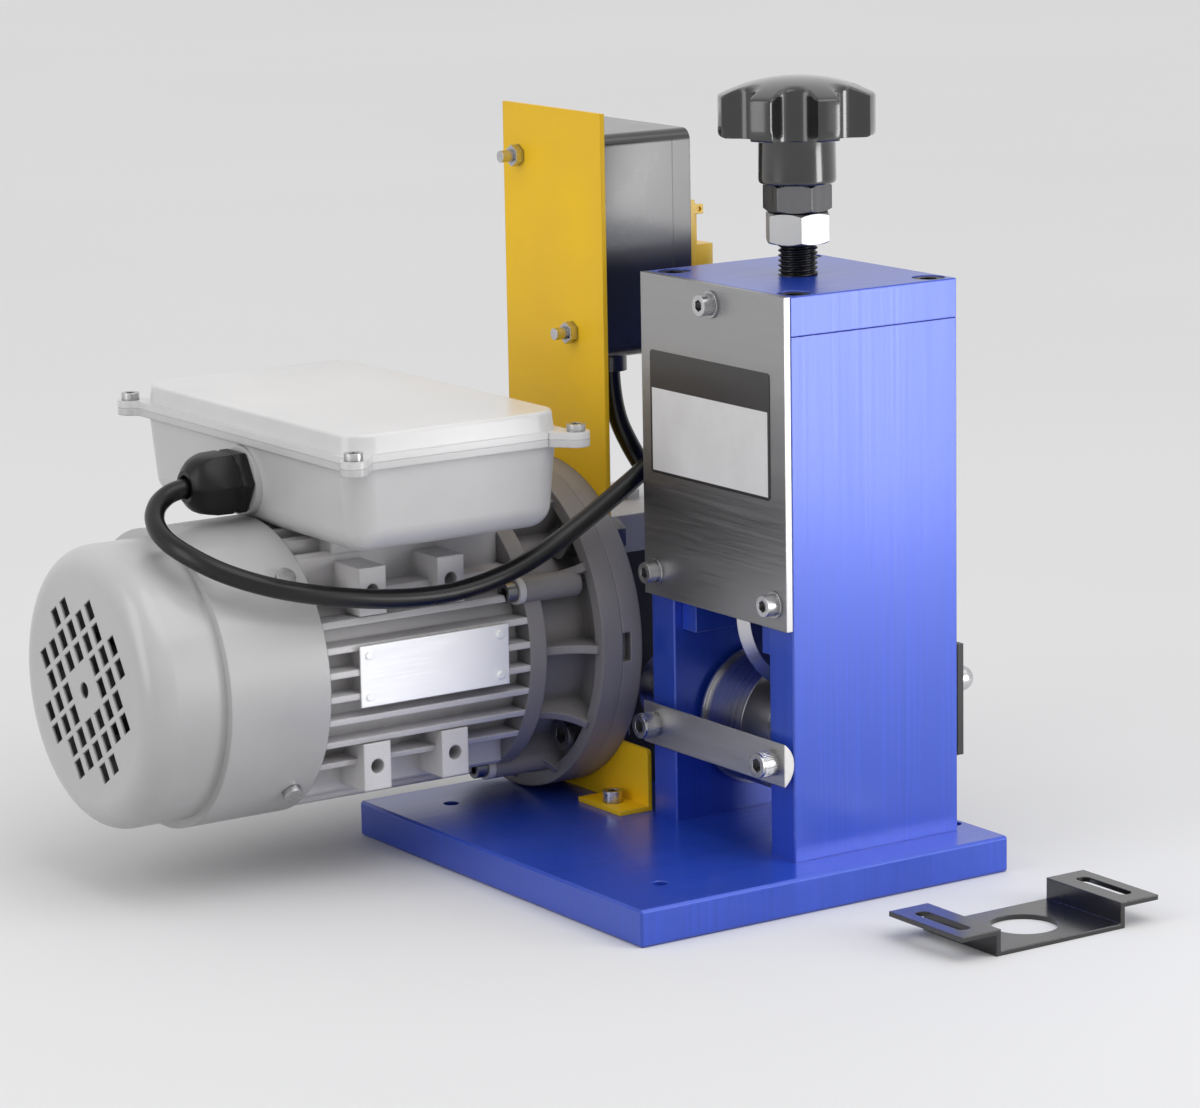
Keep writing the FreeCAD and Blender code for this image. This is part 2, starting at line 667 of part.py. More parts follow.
def feed_plate_screws():
    """Two screws with tall domed heads."""
    solids = []
    seat = tower_back + s.feed_plate_thickness
    radius = s.feed_screw_head / 2
    for y in frame_screw_ends:
        shank = rod(s.small_screw_bore / 2, s.small_screw_length, (seat, y, s.feed_screw_height),
                    "-x")
        head = rod(radius, s.feed_screw_nose - radius, (seat, y, s.feed_screw_height), "x")
        dome = doc.addObject("Part::Sphere", "dome")
        bind(dome, "Radius", radius)
        place(dome, (seat + s.feed_screw_nose - radius, y, s.feed_screw_height))
        solids.append(fuse(shank, head, dome))
    return node("feed_plate_screws", together(*solids))


# ---------------------------------------------------------------- blade, roller and carriage


def guide_keys():
    """A steel key on each side plate that the carriage slides on."""
    height = side_top - s.key_foot_height
    keys = [block((roller_x - s.key_width / 2, y, s.key_foot_height),
                  (s.key_width, s.key_depth, height))
            for y in (near_wall, far_wall - s.key_depth)]
    return node("guide_keys", together(*keys))


def blade_carriage():
    """Yoke with two legs that carry the blade's shaft in bushes."""
    width = carriage_far - carriage_near
    x = roller_x - s.carriage_length / 2
    yoke = block((x, carriage_near, carriage_foot), (s.carriage_length, width, s.carriage_height))
    gap = block((x, carriage_near + s.leg_thickness, carriage_foot),
                (s.carriage_length, width - s.leg_thickness * 2,
                 s.carriage_height - s.yoke_thickness))
    slot_width = s.key_width + s.carriage_clearance * 2
    slot_depth = s.key_depth + s.slack - s.carriage_clearance
    slot_foot = s.key_foot_height - s.lift_up - s.slack * 2
    slots = [block((roller_x - slot_width / 2, y, slot_foot),
                   (slot_width, slot_depth, carriage_top - slot_foot))
             for y in (carriage_near, carriage_far - slot_depth)]
    bore = rod(s.bush_diameter / 2, width, (roller_x, carriage_near, blade_z), "y")
    foot_pocket = rod(s.screw_foot_diameter / 2 + s.slack, s.foot_pocket_depth,
                      (roller_x, tower_mid, carriage_top - s.foot_pocket_depth))
    return node("blade_carriage", cut(yoke, gap, *slots, bore, foot_pocket))


def carriage_bushes():
    bushes = [tube(s.bush_diameter / 2, s.blade_shaft_diameter / 2 + s.running_fit, s.leg_thickness,
                   (roller_x, y, blade_z), "y")
              for y in (carriage_near, carriage_far - s.leg_thickness)]
    return node("carriage_bushes", together(*bushes))


def thrust_plate():
    """Keeps the foot of the adjusting screw in the carriage's pocket."""
    half = s.thrust_plate_size / 2
    plate = block((roller_x - half, tower_mid - half, carriage_top),
                  (s.thrust_plate_size, s.thrust_plate_size, s.thrust_plate_thickness))
    hole = rod(s.screw_neck_diameter / 2 + s.running_fit, s.thrust_plate_thickness,
               (roller_x, tower_mid, carriage_top))
    return node("thrust_plate", cut(plate, hole))


def blade_shaft():
    length = carriage_far - carriage_near - s.slack * 2
    shaft = rod(s.blade_shaft_diameter / 2, length, (roller_x, carriage_near + s.slack, blade_z), "y")
    return node("blade_shaft", shaft)


def blade_wheel():
    """Round blade with a two-sided bevel and a hub."""
    half = s.blade_thickness / 2
    bevel_foot = s.blade_radius - s.blade_bevel
    bore = s.blade_shaft_diameter / 2
    hub = s.blade_thickness
    profile = [(bore, -hub), (s.blade_hub_radius, -hub), (s.blade_hub_radius, -half),
               (bevel_foot, -half), (s.blade_radius, 0), (bevel_foot, half),
               (s.blade_hub_radius, half), (s.blade_hub_radius, hub), (bore, hub)]
    return node("blade_wheel", turned("blade_wheel", profile, (roller_x, blade_y, blade_z), "y"))


def blade_collars():
    """Spacer tubes that hold the blade in line with the roller's groove."""
    inner_near = carriage_near + s.leg_thickness + s.slack
    inner_far = carriage_far - s.leg_thickness - s.slack
    near_end = blade_y - s.blade_thickness
    far_end = blade_y + s.blade_thickness
    radius = s.blade_shaft_diameter / 2 + s.collar_wall
    bore = s.blade_shaft_diameter / 2
    near = tube(radius, bore, near_end - inner_near, (roller_x, inner_near, blade_z), "y")
    far = tube(radius, bore, inner_far - far_end, (roller_x, far_end, blade_z), "y")
    return node("blade_collars", together(near, far))


def drive_roller():
    """Grooved roller: the blade runs in the groove and the wire lies on its floor."""
    bore = s.drive_shaft_diameter / 2
    near = roller_near - blade_y
    land_far = groove_far + s.roller_land - blade_y
    half = s.groove_width / 2
    profile = [(bore, near), (s.roller_radius, near), (s.roller_radius, -half),
               (s.groove_radius, -half), (s.groove_radius, half), (s.roller_radius, half),
               (s.roller_radius, land_far), (s.flange_radius, land_far),
               (s.flange_radius, roller_far - blade_y), (bore, roller_far - blade_y)]
    return node("drive_roller", turned("drive_roller", profile, (roller_x, blade_y, roller_z), "y"))


def drive_shaft():
    start = near_wall - s.bearing_width + s.slack
    end = gearbox_far - s.gearbox_wall
    return node("drive_shaft", rod(s.drive_shaft_diameter / 2, end - start,
                                   (roller_x, start, roller_z), "y"))


def ball_bearing(bore, at, axis):
    """Outer and inner rings with a shield between them, turned as one."""
    inner = bore / 2
    lip = s.slack
    recess = (bearing_radius - inner) / 4
    width = s.bearing_width
    profile = [(inner, 0), (inner + recess, 0), (inner + recess, lip),
               (bearing_radius - recess, lip), (bearing_radius - recess, 0), (bearing_radius, 0),
               (bearing_radius, width), (bearing_radius - recess, width),
               (bearing_radius - recess, width - lip), (inner + recess, width - lip),
               (inner + recess, width), (inner, width)]
    return turned("bearing", profile, at, axis)


def drive_bearings():
    """Two in the tower's side plates and two in the gearbox."""
    bore = s.drive_shaft_diameter + s.running_fit * 2
    rings = [ball_bearing(bore, (roller_x, near_wall, roller_z), "-y"),
             ball_bearing(bore, (roller_x, far_wall, roller_z), "y"),
             ball_bearing(bore, (roller_x, gearbox_near, roller_z), "y"),
             ball_bearing(bore, (roller_x, gearbox_far - s.blind_wall, roller_z), "-y")]
    return node("drive_bearings", together(*rings))


# ---------------------------------------------------------------- adjusting screw, nuts and knob


def adjusting_screw():
    """Threaded spindle with a turned neck and foot held by the thrust plate."""
    foot = carriage_top - s.foot_pocket_depth + s.slack
    neck_top = thrust_top + s.slack
    tip = knob_foot + s.knob_socket_depth
    foot_disc = rod(s.screw_foot_diameter / 2, s.screw_foot_thickness, (roller_x, tower_mid, foot))
    neck = rod(s.screw_neck_diameter / 2, neck_top - foot, (roller_x, tower_mid, foot))
    thread = rod(s.thread_diameter / 2, tip - neck_top, (roller_x, tower_mid, neck_top))
    return node("adjusting_screw", fuse(foot_disc, neck, thread))


def hex_nut(height, foot, bore_radius, angle=0):
    """Hexagon with its corners turned off at both ends, turned about its axis by an angle."""
    angle = as_size(angle)
    radius = s.nut_across_flats / math.sqrt(3)
    flat = s.nut_across_flats / 2
    drop = (radius - flat) * math.tan(math.radians(NUT_CORNER))
    blank = prism(6, radius, height, (roller_x, tower_mid, foot))
    blank.Placement.Rotation = FreeCAD.Rotation(UP, angle.value)
    blank.setExpression("Placement.Rotation.Angle", angle.text)
    profile = [(0, 0), (flat, 0), (radius, drop), (radius, height - drop), (flat, height),
               (0, height)]
    barrel = turned("nut_barrel", profile, (roller_x, tower_mid, foot))
    bore = rod(bore_radius, height, (roller_x, tower_mid, foot))
    return cut(common(blank, barrel), bore)


def jam_nut():
    return node("jam_nut", hex_nut(s.jam_nut_height, jam_nut_foot, s.thread_diameter / 2,
                                   s.jam_nut_turn))


def lock_nut():
    return node("lock_nut", hex_nut(s.lock_nut_height, lock_nut_foot, thread_hole))


def knob():
    """Star knob: a hub and a domed head with scallops all round."""
    rim = s.knob_hub_length + s.knob_rim
    crown = rim + s.knob_dome
    body = new_body("knob_blank", (roller_x, tower_mid, knob_foot))
    bore = s.thread_diameter / 2
    profile = [(bore, 0), (s.knob_hub_radius, 0), (s.knob_hub_radius, s.knob_hub_length),
               (s.knob_radius, s.knob_hub_length), (s.knob_radius, crown), (0, crown),
               (0, s.knob_socket_depth), (bore, s.knob_socket_depth)]
    turn(body, outline(new_sketch(body, "XZ_Plane"), profile))
    centre = (s.scallop_centre * angle_of(math.cos, "cos", s.knob_phase),
              s.scallop_centre * angle_of(math.sin, "sin", s.knob_phase))
    scallop = pocket(body, circle(new_sketch(body), centre, s.scallop_radius))
    around(body, scallop, s.knob_lobes)
    dome = doc.addObject("Part::Sphere", "knob_dome")
    radius = (s.knob_radius * s.knob_radius + s.knob_dome * s.knob_dome) / (s.knob_dome * 2)
    bind(dome, "Radius", radius)
    place(dome, (roller_x, tower_mid, knob_foot + crown - radius))
    return node("knob", common(body, dome))


# ---------------------------------------------------------------- gearbox


def gearbox_housing():
    """Black box, open at the top, that stands on the base behind the tower."""
    wall = s.gearbox_wall
    shell = block((gearbox_front, gearbox_near, base_top),
                  (s.gearbox_length, s.gearbox_width, s.gearbox_height))
    cavity = block((gearbox_front + wall, gearbox_near + wall, base_top + s.gearbox_floor),
                   (s.gearbox_length - wall * 2, s.gearbox_width - wall * 2,
                    s.gearbox_height - s.gearbox_floor))
    inlet = rod(bearing_radius, s.bearing_width, (gearbox_front, motor_y, motor_z), "x")
    tail = rod(bearing_radius, s.bearing_width, (gearbox_back - s.blind_wall, motor_y, motor_z), "-x")
    output = rod(bearing_radius, s.bearing_width, (roller_x, gearbox_near, roller_z), "y")
    far = rod(bearing_radius, s.bearing_width, (roller_x, gearbox_far - s.blind_wall, roller_z), "-y")
    seat = s.frame_screw_head_height + s.screw_clearance
    depth = s.gearbox_screw_length + seat - base_top
    tapped = [rod(s.frame_screw_bore / 2, depth, (x, y, base_top))
              for x, y in base_screw_places()[4:]]
    depth = s.cover_screw_span - s.gearbox_cover_height
    tapped += [rod(s.small_screw_bore / 2, depth, (x, y, gearbox_top - depth))
               for x, y in cover_screw_places()]
    return node("gearbox_housing", cut(shell, cavity, inlet, tail, output, far, *tapped))


def gearbox_cover():
    """Light cover with an oil plug."""
    cover = block((gearbox_front, gearbox_near, gearbox_top),
                  (s.gearbox_length, s.gearbox_width, s.gearbox_cover_height))
    wall = s.gearbox_wall
    holes = [rod(s.small_screw_bore / 2, s.gearbox_cover_height, (x, y, gearbox_top))
             for x, y in cover_screw_places()]
    hollow = block((gearbox_front + wall, gearbox_near + wall, gearbox_top),
                   (s.gearbox_length - wall * 2, s.gearbox_width - wall * 2,
                    s.gearbox_cover_height - s.cover_thickness))
    plug = prism(6, s.plug_radius, s.plug_height,
                 (roller_x, motor_y, gearbox_top + s.gearbox_cover_height))
    return node("gearbox_cover", fuse(cut(cover, hollow, *holes), plug))


def cover_screw_places():
    inset = s.small_screw_head / 2 + s.screw_clearance
    return [(x, y) for x in (gearbox_front + inset, gearbox_back - inset)
            for y in (gearbox_near + inset, gearbox_far - inset)]


def gearbox_cover_screws():
    seat = gearbox_top + s.gearbox_cover_height
    screws = [socket_screw(s.small_screw_bore, s.small_screw_head, s.small_screw_height,
                           s.cover_screw_span, (x, y, seat), "-z")
              for x, y in cover_screw_places()]
    return node("gearbox_cover_screws", together(*screws))


def motor_bearings():
    """Two in the motor's end shields and two at the ends of the worm."""
    bore = s.motor_shaft_diameter + s.running_fit * 2
    rings = [ball_bearing(bore, (gearbox_front, motor_y, motor_z), "x"),
             ball_bearing(bore, (gearbox_back - s.blind_wall, motor_y, motor_z), "-x"),
             ball_bearing(bore, (barrel_end + bearing_seat, motor_y, motor_z), "-x"),
             ball_bearing(bore, (rear_face + s.rear_web, motor_y, motor_z), "x")]
    return node("motor_bearings", together(*rings))


def flange_bolt_places():
    return [(motor_y + across * bolt_offset, motor_z + up * bolt_offset)
            for across in (-1, 1) for up in (-1, 1)]


def gearbox_flange():
    """Ring between the motor's flange and the bracket, with a notch in its rim."""
    ring = new_body("gearbox_flange", (flange_front, motor_y, motor_z), "x")
    pad(ring, circle(new_sketch(ring), (0, 0), s.flange_outer_radius), s.gearbox_flange_thickness)
    pocket(ring, circle(new_sketch(ring), (0, 0), bearing_radius - s.blind_wall))
    hole = pocket(ring, circle(new_sketch(ring), (bolt_offset, bolt_offset), s.frame_screw_bore / 2))
    around(ring, hole, 4)
    notch = block((flange_front, motor_y - s.flange_outer_radius - s.slack,
                   motor_z - s.flange_notch_length / 2),
                  (s.flange_notch_width, s.flange_notch_depth, s.flange_notch_length))
    return node("gearbox_flange", cut(ring, notch))


def worm():
    """Worm on the motor shaft, drawn to just inside the mesh."""
    start = gearbox_front + s.bearing_width + s.slack
    end = gearbox_back - s.blind_wall - s.bearing_width - s.slack
    body = tube(s.worm_radius, s.motor_shaft_diameter / 2, end - start, (start, motor_y, motor_z),
                "x")
    return node("worm", body)


def worm_wheel():
    """Wheel on the drive shaft with shallow teeth."""
    body = new_body("worm_wheel", (roller_x, motor_y - s.wheel_width / 2, roller_z), "y")
    pad(body, circle(new_sketch(body), (0, 0), s.wheel_radius), s.wheel_width)
    pocket(body, circle(new_sketch(body), (0, 0), s.drive_shaft_diameter / 2))
    half = s.tooth_depth
    gash = rectangle(new_sketch(body), (s.wheel_radius - s.tooth_depth, -half),
                     (s.wheel_radius + s.tooth_depth, half))
    around(body, pocket(body, gash), s.wheel_teeth)
    return node("worm_wheel", body)


# ---------------------------------------------------------------- motor bracket


def motor_bracket():
    """Yellow sheet between gearbox and motor flange, drawn up into the switch column."""
    body = new_body("motor_bracket", (bracket_front, 0, 0))
    low = base_top
    foot_top = base_top + s.foot_height
    wide_near = motor_y - s.bracket_half_width
    wide_far = motor_y + s.bracket_half_width
    shoulder = motor_z + s.bracket_shoulder
    column_far = s.column_near + s.column_width
    base_far = s.base_width / 2
    points = [(s.foot_near, low), (base_far, low), (base_far, foot_top), (wide_far, foot_top),
              (wide_far, shoulder), (column_far, shoulder), (column_far, s.column_top),
              (s.column_near, s.column_top), (s.column_near, shoulder), (wide_near, shoulder),
              (wide_near, foot_top), (s.foot_near, foot_top)]
    pad(body, outline(new_sketch(body, "YZ_Plane"), points), s.bracket_thickness)
    break_edges(body, s.foot_corner, is_foot_corner, "PartDesign::Fillet")
    tab = rectangle(new_sketch(body, "XY_Plane", base_top), (-s.foot_length, s.foot_near),
                    (0, s.foot_near + s.foot_width))
    pad(body, tab, s.bracket_thickness)
    holes = circle(new_sketch(body, "YZ_Plane"), (motor_y, motor_z), s.bracket_bore_radius)
    for y, z in flange_bolt_places():
        circle(holes, (y, z), s.frame_screw_bore / 2)
    for y, z in box_bolt_places():
        circle(holes, (y, z), s.box_bolt_bore / 2)
    pocket(body, holes)
    x, y = foot_screw_place()
    pocket(body, circle(new_sketch(body), (x - bracket_front, y), s.small_screw_bore / 2))
    return node("motor_bracket", body)


def is_foot_corner(edge):
    """The upper outer corner of the bracket's foot."""
    corner = Vector(0, s.foot_near.value, base_top.value + s.foot_height.value)
    return is_along_x(edge) and edge.distToShape(Part.Vertex(corner))[0] < s.slack.value


def foot_screw_place():
    return (bracket_front - s.foot_screw_inset, s.foot_near + s.foot_width / 2)


def box_bolt_places():
    return [(s.box_bolt_far, s.box_bolt_high), (s.box_bolt_near, s.box_bolt_low)]


def foot_screw():
    x, y = foot_screw_place()
    at = (x, y, base_top + s.bracket_thickness)
    return node("foot_screw", socket_screw(s.small_screw_bore, s.small_screw_head,
                                           s.small_screw_height, s.small_screw_length, at, "-z"))


def flange_bolts():
    """Bolts through both flanges and the bracket, each with its nut."""
    solids = []
    seat = shield_front + s.motor_flange_thickness - s.flange_web
    reach = bracket_front + s.bracket_thickness - seat
    for y, z in flange_bolt_places():
        solids.append(socket_screw(s.frame_screw_bore, s.frame_screw_head,
                                   s.frame_screw_head_height, reach + s.flange_nut_height,
                                   (seat, y, z), "x"))
        nut = prism(6, s.flange_nut_radius, s.flange_nut_height, (gearbox_front, y, z), "x")
        hole = rod(s.frame_screw_bore / 2, s.flange_nut_height, (gearbox_front, y, z), "x")
        solids.append(cut(nut, hole))
    return node("flange_bolts", together(*solids))


# ---------------------------------------------------------------- motor


def lug_places():
    """Middles of the motor's four long screws, a quarter turn apart."""
    along = s.lug_circle / 2 * angle_of(math.cos, "cos", s.lug_turn)
    aside = s.lug_circle / 2 * angle_of(math.sin, "sin", s.lug_turn)
    return [(motor_y - along, motor_z + aside), (motor_y + aside, motor_z + along),
            (motor_y + along, motor_z - aside), (motor_y - aside, motor_z - along)]


def front_end_shield():
    """Bell-shaped shield: a ring against the barrel, a ribbed body and the round flange."""
    body = new_body("shield_blank", (barrel_end, motor_y, motor_z), "x")
    bore = s.motor_shaft_diameter / 2 + s.shaft_gap
    length = s.shield_length + s.motor_flange_thickness
    web = length - s.flange_web
    rim = s.flange_outer_radius - s.flange_recess_wall
    inner = s.barrel_radius - s.shield_wall
    profile = [(inner, 0), (s.fin_radius, 0), (s.fin_radius, s.shield_ring_length),
               (s.barrel_radius, s.shield_ring_length), (s.barrel_radius, web), (rim, web),
               (rim, s.shield_length), (s.flange_outer_radius, s.shield_length),
               (s.flange_outer_radius, length), (bore, length), (bore, bearing_seat),
               (bearing_radius, bearing_seat), (bearing_radius, bearing_seat - s.bearing_width),
               (inner, bearing_seat - s.bearing_width)]
    turn(body, outline(new_sketch(body, "XZ_Plane"), profile))
    lugs = [rod(s.lug_radius, s.lug_length, (barrel_end, y, z), "x") for y, z in lug_places()]
    holes = [rod(s.small_screw_bore / 2, s.lug_length, (barrel_end, y, z), "x")
             for y, z in lug_places()]
    holes += [rod(s.frame_screw_bore / 2, s.motor_flange_thickness, (shield_front, y, z), "x")
              for y, z in flange_bolt_places()]
    return node("front_end_shield", cut(fuse(body, shield_ribs(web), *lugs), *holes))


def shield_ribs(web):
    """Ribs from the ring to the flange, hollowed along their outer edge."""
    body = new_body("shield_ribs", (barrel_end, motor_y, motor_z), "x")
    half = s.rib_thickness / 2
    core = s.barrel_radius - s.shield_wall / 2
    length = web - s.shield_ring_length
    pad(body, circle(new_sketch(body, offset=s.shield_ring_length), (0, 0), core), length)
    rib = rectangle(new_sketch(body, offset=s.shield_ring_length), (core - half, -half),
                    (s.rib_reach, half))
    around(body, pad(body, rib, length), s.rib_count)
    pocket(body, circle(new_sketch(body), (0, 0), core - half))
    hollow = doc.addObject("Part::Torus", "rib_hollow")
    bind(hollow, "Radius1", s.rib_foot + s.rib_hollow)
    bind(hollow, "Radius2", s.rib_hollow)
    place(hollow, (barrel_end + s.shield_ring_length, motor_y, motor_z), "x")
    return cut(body, hollow)


def shield_screws():
    seat = barrel_end - s.lug_seat
    screws = [socket_screw(s.small_screw_bore, s.small_screw_head, s.small_screw_height,
                           s.lug_seat + s.lug_length, (seat, y, z), "x")
              for y, z in lug_places()]
    return node("shield_screws", together(*screws))


def barrel_fins():
    """Straight fins that stand level at the sides and upright above and below."""
    start = fan_cover_rim + s.slack
    length = barrel_end - start
    reach = s.fin_radius
    plates = []
    for row in range(-4, 4):
        offset = s.fin_pitch * (row + 0.5) - s.fin_thickness / 2
        plates.append(block((start, motor_y - reach, motor_z + offset),
                            (length, reach * 2, s.fin_thickness)))
        plates.append(block((start, motor_y + offset, motor_z - reach),
                            (length, s.fin_thickness, reach * 2)))
    return common(fuse(*plates), rod(reach, length, (start, motor_y, motor_z), "x"))


def motor_housing():
    """Finned barrel with four pads on each side and a saddle for the terminal box."""
    axis = (barrel_tail, motor_y, motor_z)
    solids = [rod(s.barrel_radius, s.barrel_length, axis, "x"), barrel_fins()]
    tools = [rod(s.barrel_bore_radius, s.barrel_length, axis, "x")]
    first = barrel_end - s.pad_margin - s.pad_length
    for x in (first, first - s.pad_spacing):
        for rise in (-s.pad_rise, s.pad_rise):
            z = motor_z + rise
            for y, hole_y, inward in ((motor_y - s.pad_reach, motor_y - s.pad_reach, "y"),
                                      (motor_y + s.pad_reach - s.pad_depth,
                                       motor_y + s.pad_reach, "-y")):
                solids.append(block((x, y, z - s.pad_height / 2),
                                    (s.pad_length, s.pad_depth, s.pad_height)))
                tools.append(rod(s.pad_bore / 2, s.pad_bore_depth,
                                 (x + s.pad_length / 2, hole_y, z), inward))
    solids.append(block((box_x - s.saddle_length / 2, motor_y - s.saddle_width / 2, motor_z),
                        (s.saddle_length, s.saddle_width, box_floor - motor_z)))
    inset = s.nameplate_pad_inset
    reach = s.nameplate_reach
    solids.append(block((nameplate_x() + inset, motor_y - reach, nameplate_z() + inset),
                        (s.nameplate_length - inset * 2, reach - s.barrel_bore_radius,
                         s.nameplate_height - inset * 2)))
    seat = barrel_end - s.lug_seat
    for y, z in lug_places():
        solids.append(rod(s.lug_radius, s.lug_seat, (seat, y, z), "x"))
        tools.append(rod(s.small_screw_bore / 2, s.lug_seat, (seat, y, z), "x"))
        tools.append(rod(s.small_screw_head / 2 + s.screw_clearance,
                         s.small_screw_height + s.screw_clearance, (seat, y, z), "-x"))
    tools.append(block((barrel_tail, motor_y - s.box_width / 2, box_floor),
                       (s.barrel_length, s.box_width, s.fin_radius)))
    tools.append(rod(s.wire_hole / 2, s.fin_radius, (box_x, motor_y, motor_z)))
    return node("motor_housing", cut(fuse(*solids), *tools))


def nameplate_x():
    return barrel_end - s.nameplate_start - s.nameplate_length


def nameplate_z():
    return motor_z + s.nameplate_rise - s.nameplate_height / 2


def nameplate():
    """Blank plate held by four round rivets."""
    face = motor_y - s.nameplate_reach - s.nameplate_thickness
    plate = block((nameplate_x(), face, nameplate_z()),
                  (s.nameplate_length, s.nameplate_thickness, s.nameplate_height))
    rivets = [rod(s.rivet_radius, s.rivet_height, (x, face, z), "-y")
              for x in (nameplate_x() + s.rivet_inset,
                        nameplate_x() + s.nameplate_length - s.rivet_inset)
              for z in (nameplate_z() + s.rivet_inset,
                        nameplate_z() + s.nameplate_height - s.rivet_inset)]
    return node("nameplate", fuse(plate, *rivets))


def stator():
    """Laminated core with a ring of windings at each end."""
    solids = [tube(s.barrel_bore_radius, s.stator_inner_radius, s.stator_length,
                   (stator_start, motor_y, motor_z), "x")]
    for x in (stator_start - s.winding_length, stator_start + s.stator_length):
        solids.append(tube(s.barrel_bore_radius - s.winding_margin,
                           s.stator_inner_radius + s.winding_margin, s.winding_length,
                           (x, motor_y, motor_z), "x"))
    return node("stator", together(*solids))


def rotor_core():
    return node("rotor_core", tube(s.rotor_radius, s.motor_shaft_diameter / 2, s.stator_length,
                                   (stator_start, motor_y, motor_z), "x"))


def motor_shaft():
    start = fan_start - s.slack
    return node("motor_shaft", rod(s.motor_shaft_diameter / 2, motor_shaft_end - start,
                                   (start, motor_y, motor_z), "x"))


def rear_end_shield():
    """Disc behind the barrel that carries the rear bearing and the fan cover."""
    hub = s.rear_shield_thickness + s.rear_hub_length
    bore = s.motor_shaft_diameter / 2 + s.shaft_gap
    rim = s.fan_cover_radius - s.fan_cover_wall
    hub_radius = bearing_radius + s.rear_hub_wall
    profile = [(bore, 0), (rim, 0), (rim, s.rear_shield_thickness),
               (hub_radius, s.rear_shield_thickness), (hub_radius, hub), (bearing_radius, hub),
               (bearing_radius, s.rear_web), (bore, s.rear_web)]
    disc = turned("rear_blank", profile, (rear_face, motor_y, motor_z), "x")
    return node("rear_end_shield", cut(disc, *cover_screw_shanks()))


DIAGONALS = {"near_low": (-1, -1), "near_high": (-1, 1), "far_low": (1, -1), "far_high": (1, 1)}
OPPOSITE = {"near_low": "far_high", "near_high": "far_low", "far_low": "near_high",
            "far_high": "near_low"}
for name, (across, up) in DIAGONALS.items():
    AXES[name] = Vector(0, across, up)


def cover_screw_seat(name):
    """Where one of the fan cover's screws meets the cover."""
    across, up = DIAGONALS[name]
    reach = s.fan_cover_radius * math.sqrt(0.5)
    x = rear_face + s.rear_shield_thickness / 2
    return (x, motor_y + across * reach, motor_z + up * reach)


def cover_screw_shanks():
    return [rod(s.cover_screw_bore / 2, s.cover_screw_length, cover_screw_seat(name),
                OPPOSITE[name]) for name in DIAGONALS]


def fan_cover_screws():
    solids = []
    for name, shank in zip(DIAGONALS, cover_screw_shanks()):
        head = rod(s.cover_screw_head / 2, s.cover_screw_height, cover_screw_seat(name), name)
        solids.append(fuse(shank, head))
    return node("fan_cover_screws", together(*solids))


def fan_cover():
    """Pressed cap with a round shoulder, a wider skirt and a slanted grid of air slots."""
    wall = s.fan_cover_wall
    outer = s.fan_cover_radius
    band = outer - s.fan_cover_step
    step = s.fan_cover_band
    profile = [(0, 0), (band, 0), (band, step), (outer, step), (outer, s.fan_cover_length),
               (outer - wall, s.fan_cover_length), (outer - wall, step + wall),
               (band - wall, step + wall), (band - wall, wall), (0, wall)]
    shell = turned("cover_blank", profile, (cover_tail, motor_y, motor_z), "x")
    break_edges(shell, s.fan_cover_shoulder, is_outer_rim, "PartDesign::Fillet")
    break_edges(shell, s.fan_cover_shoulder - wall, is_inner_rim, "PartDesign::Fillet")
    eye = rod(s.cover_eye / 2, wall, (cover_tail, motor_y, motor_z), "x")
    return node("fan_cover", cut(shell, eye, together(*air_slots()), *cover_screw_shanks()))


def is_rim(edge, radius, height):
    """Whether an edge is the circle of a radius that lies at a height."""
    middle = edge.BoundBox.Center.z
    return abs(edge.BoundBox.XLength / 2 - radius.value) + abs(middle - height.value) < ROUND_OFF


def is_outer_rim(edge):
    return is_rim(edge, s.fan_cover_radius - s.fan_cover_step, as_size(0))


def is_inner_rim(edge):
    wall = s.fan_cover_wall
    return is_rim(edge, s.fan_cover_radius - s.fan_cover_step - wall, wall)


def air_slots():
    """Slots at the half steps of a square grid, inside a circle and around a blank middle."""
    blank, edge = 1, 3.6
    steps = [number + 0.5 for number in range(-4, 4)]
    return [air_slot(across, up) for across in steps for up in steps
            if blank < math.hypot(across, up) < edge]


def air_slot(across, up):
    slot = block((0, 0, 0), (s.fan_cover_wall, s.slot_width, s.slot_height))
    cosine = angle_of(math.cos, "cos", s.slot_tilt)
    sine = angle_of(math.sin, "sin", s.slot_tilt)
    right = s.slot_pitch * across - s.slot_width / 2
    rise = s.slot_pitch * up - s.slot_height / 2
    place(slot, (cover_tail, motor_y + right * cosine - rise * sine,
                 motor_z + right * sine + rise * cosine))
    slot.Placement.Rotation = FreeCAD.Rotation(AXES["x"], s.slot_tilt.value)
    slot.setExpression("Placement.Rotation.Angle", s.slot_tilt.text)
    return slot


def cooling_fan():
    """Radial fan on the motor shaft: hub, disc and straight blades."""
    body = new_body("cooling_fan", (fan_start, motor_y, motor_z), "x")
    pad(body, circle(new_sketch(body), (0, 0), s.fan_hub_radius), s.fan_width)
    disc = circle(new_sketch(body, offset=s.fan_width - s.fan_disc), (0, 0), s.fan_radius)
    pad(body, disc, s.fan_disc)
    half = s.fan_disc / 2
    blade = rectangle(new_sketch(body, offset=s.fan_disc), (s.fan_hub_radius - half, -half),
                      (s.fan_radius - half, half))
    around(body, pad(body, blade, s.fan_width - s.fan_disc), s.fan_blades)
    pocket(body, circle(new_sketch(body), (0, 0), s.motor_shaft_diameter / 2))
    return node("cooling_fan", body)


# ---------------------------------------------------------------- terminal box and gland


def tapered(label, floor, half_length, half_width, height, draft, rounding):
    """Rounded block centred over the terminal box's middle that widens or narrows upwards."""
    body = new_body(label, (box_x, motor_y, floor))
    pad(body, rectangle(new_sketch(body), (-half_length, -half_width), (half_length, half_width)),
        height, draft)
    break_edges(body, rounding, is_upright, "PartDesign::Fillet")
    return body


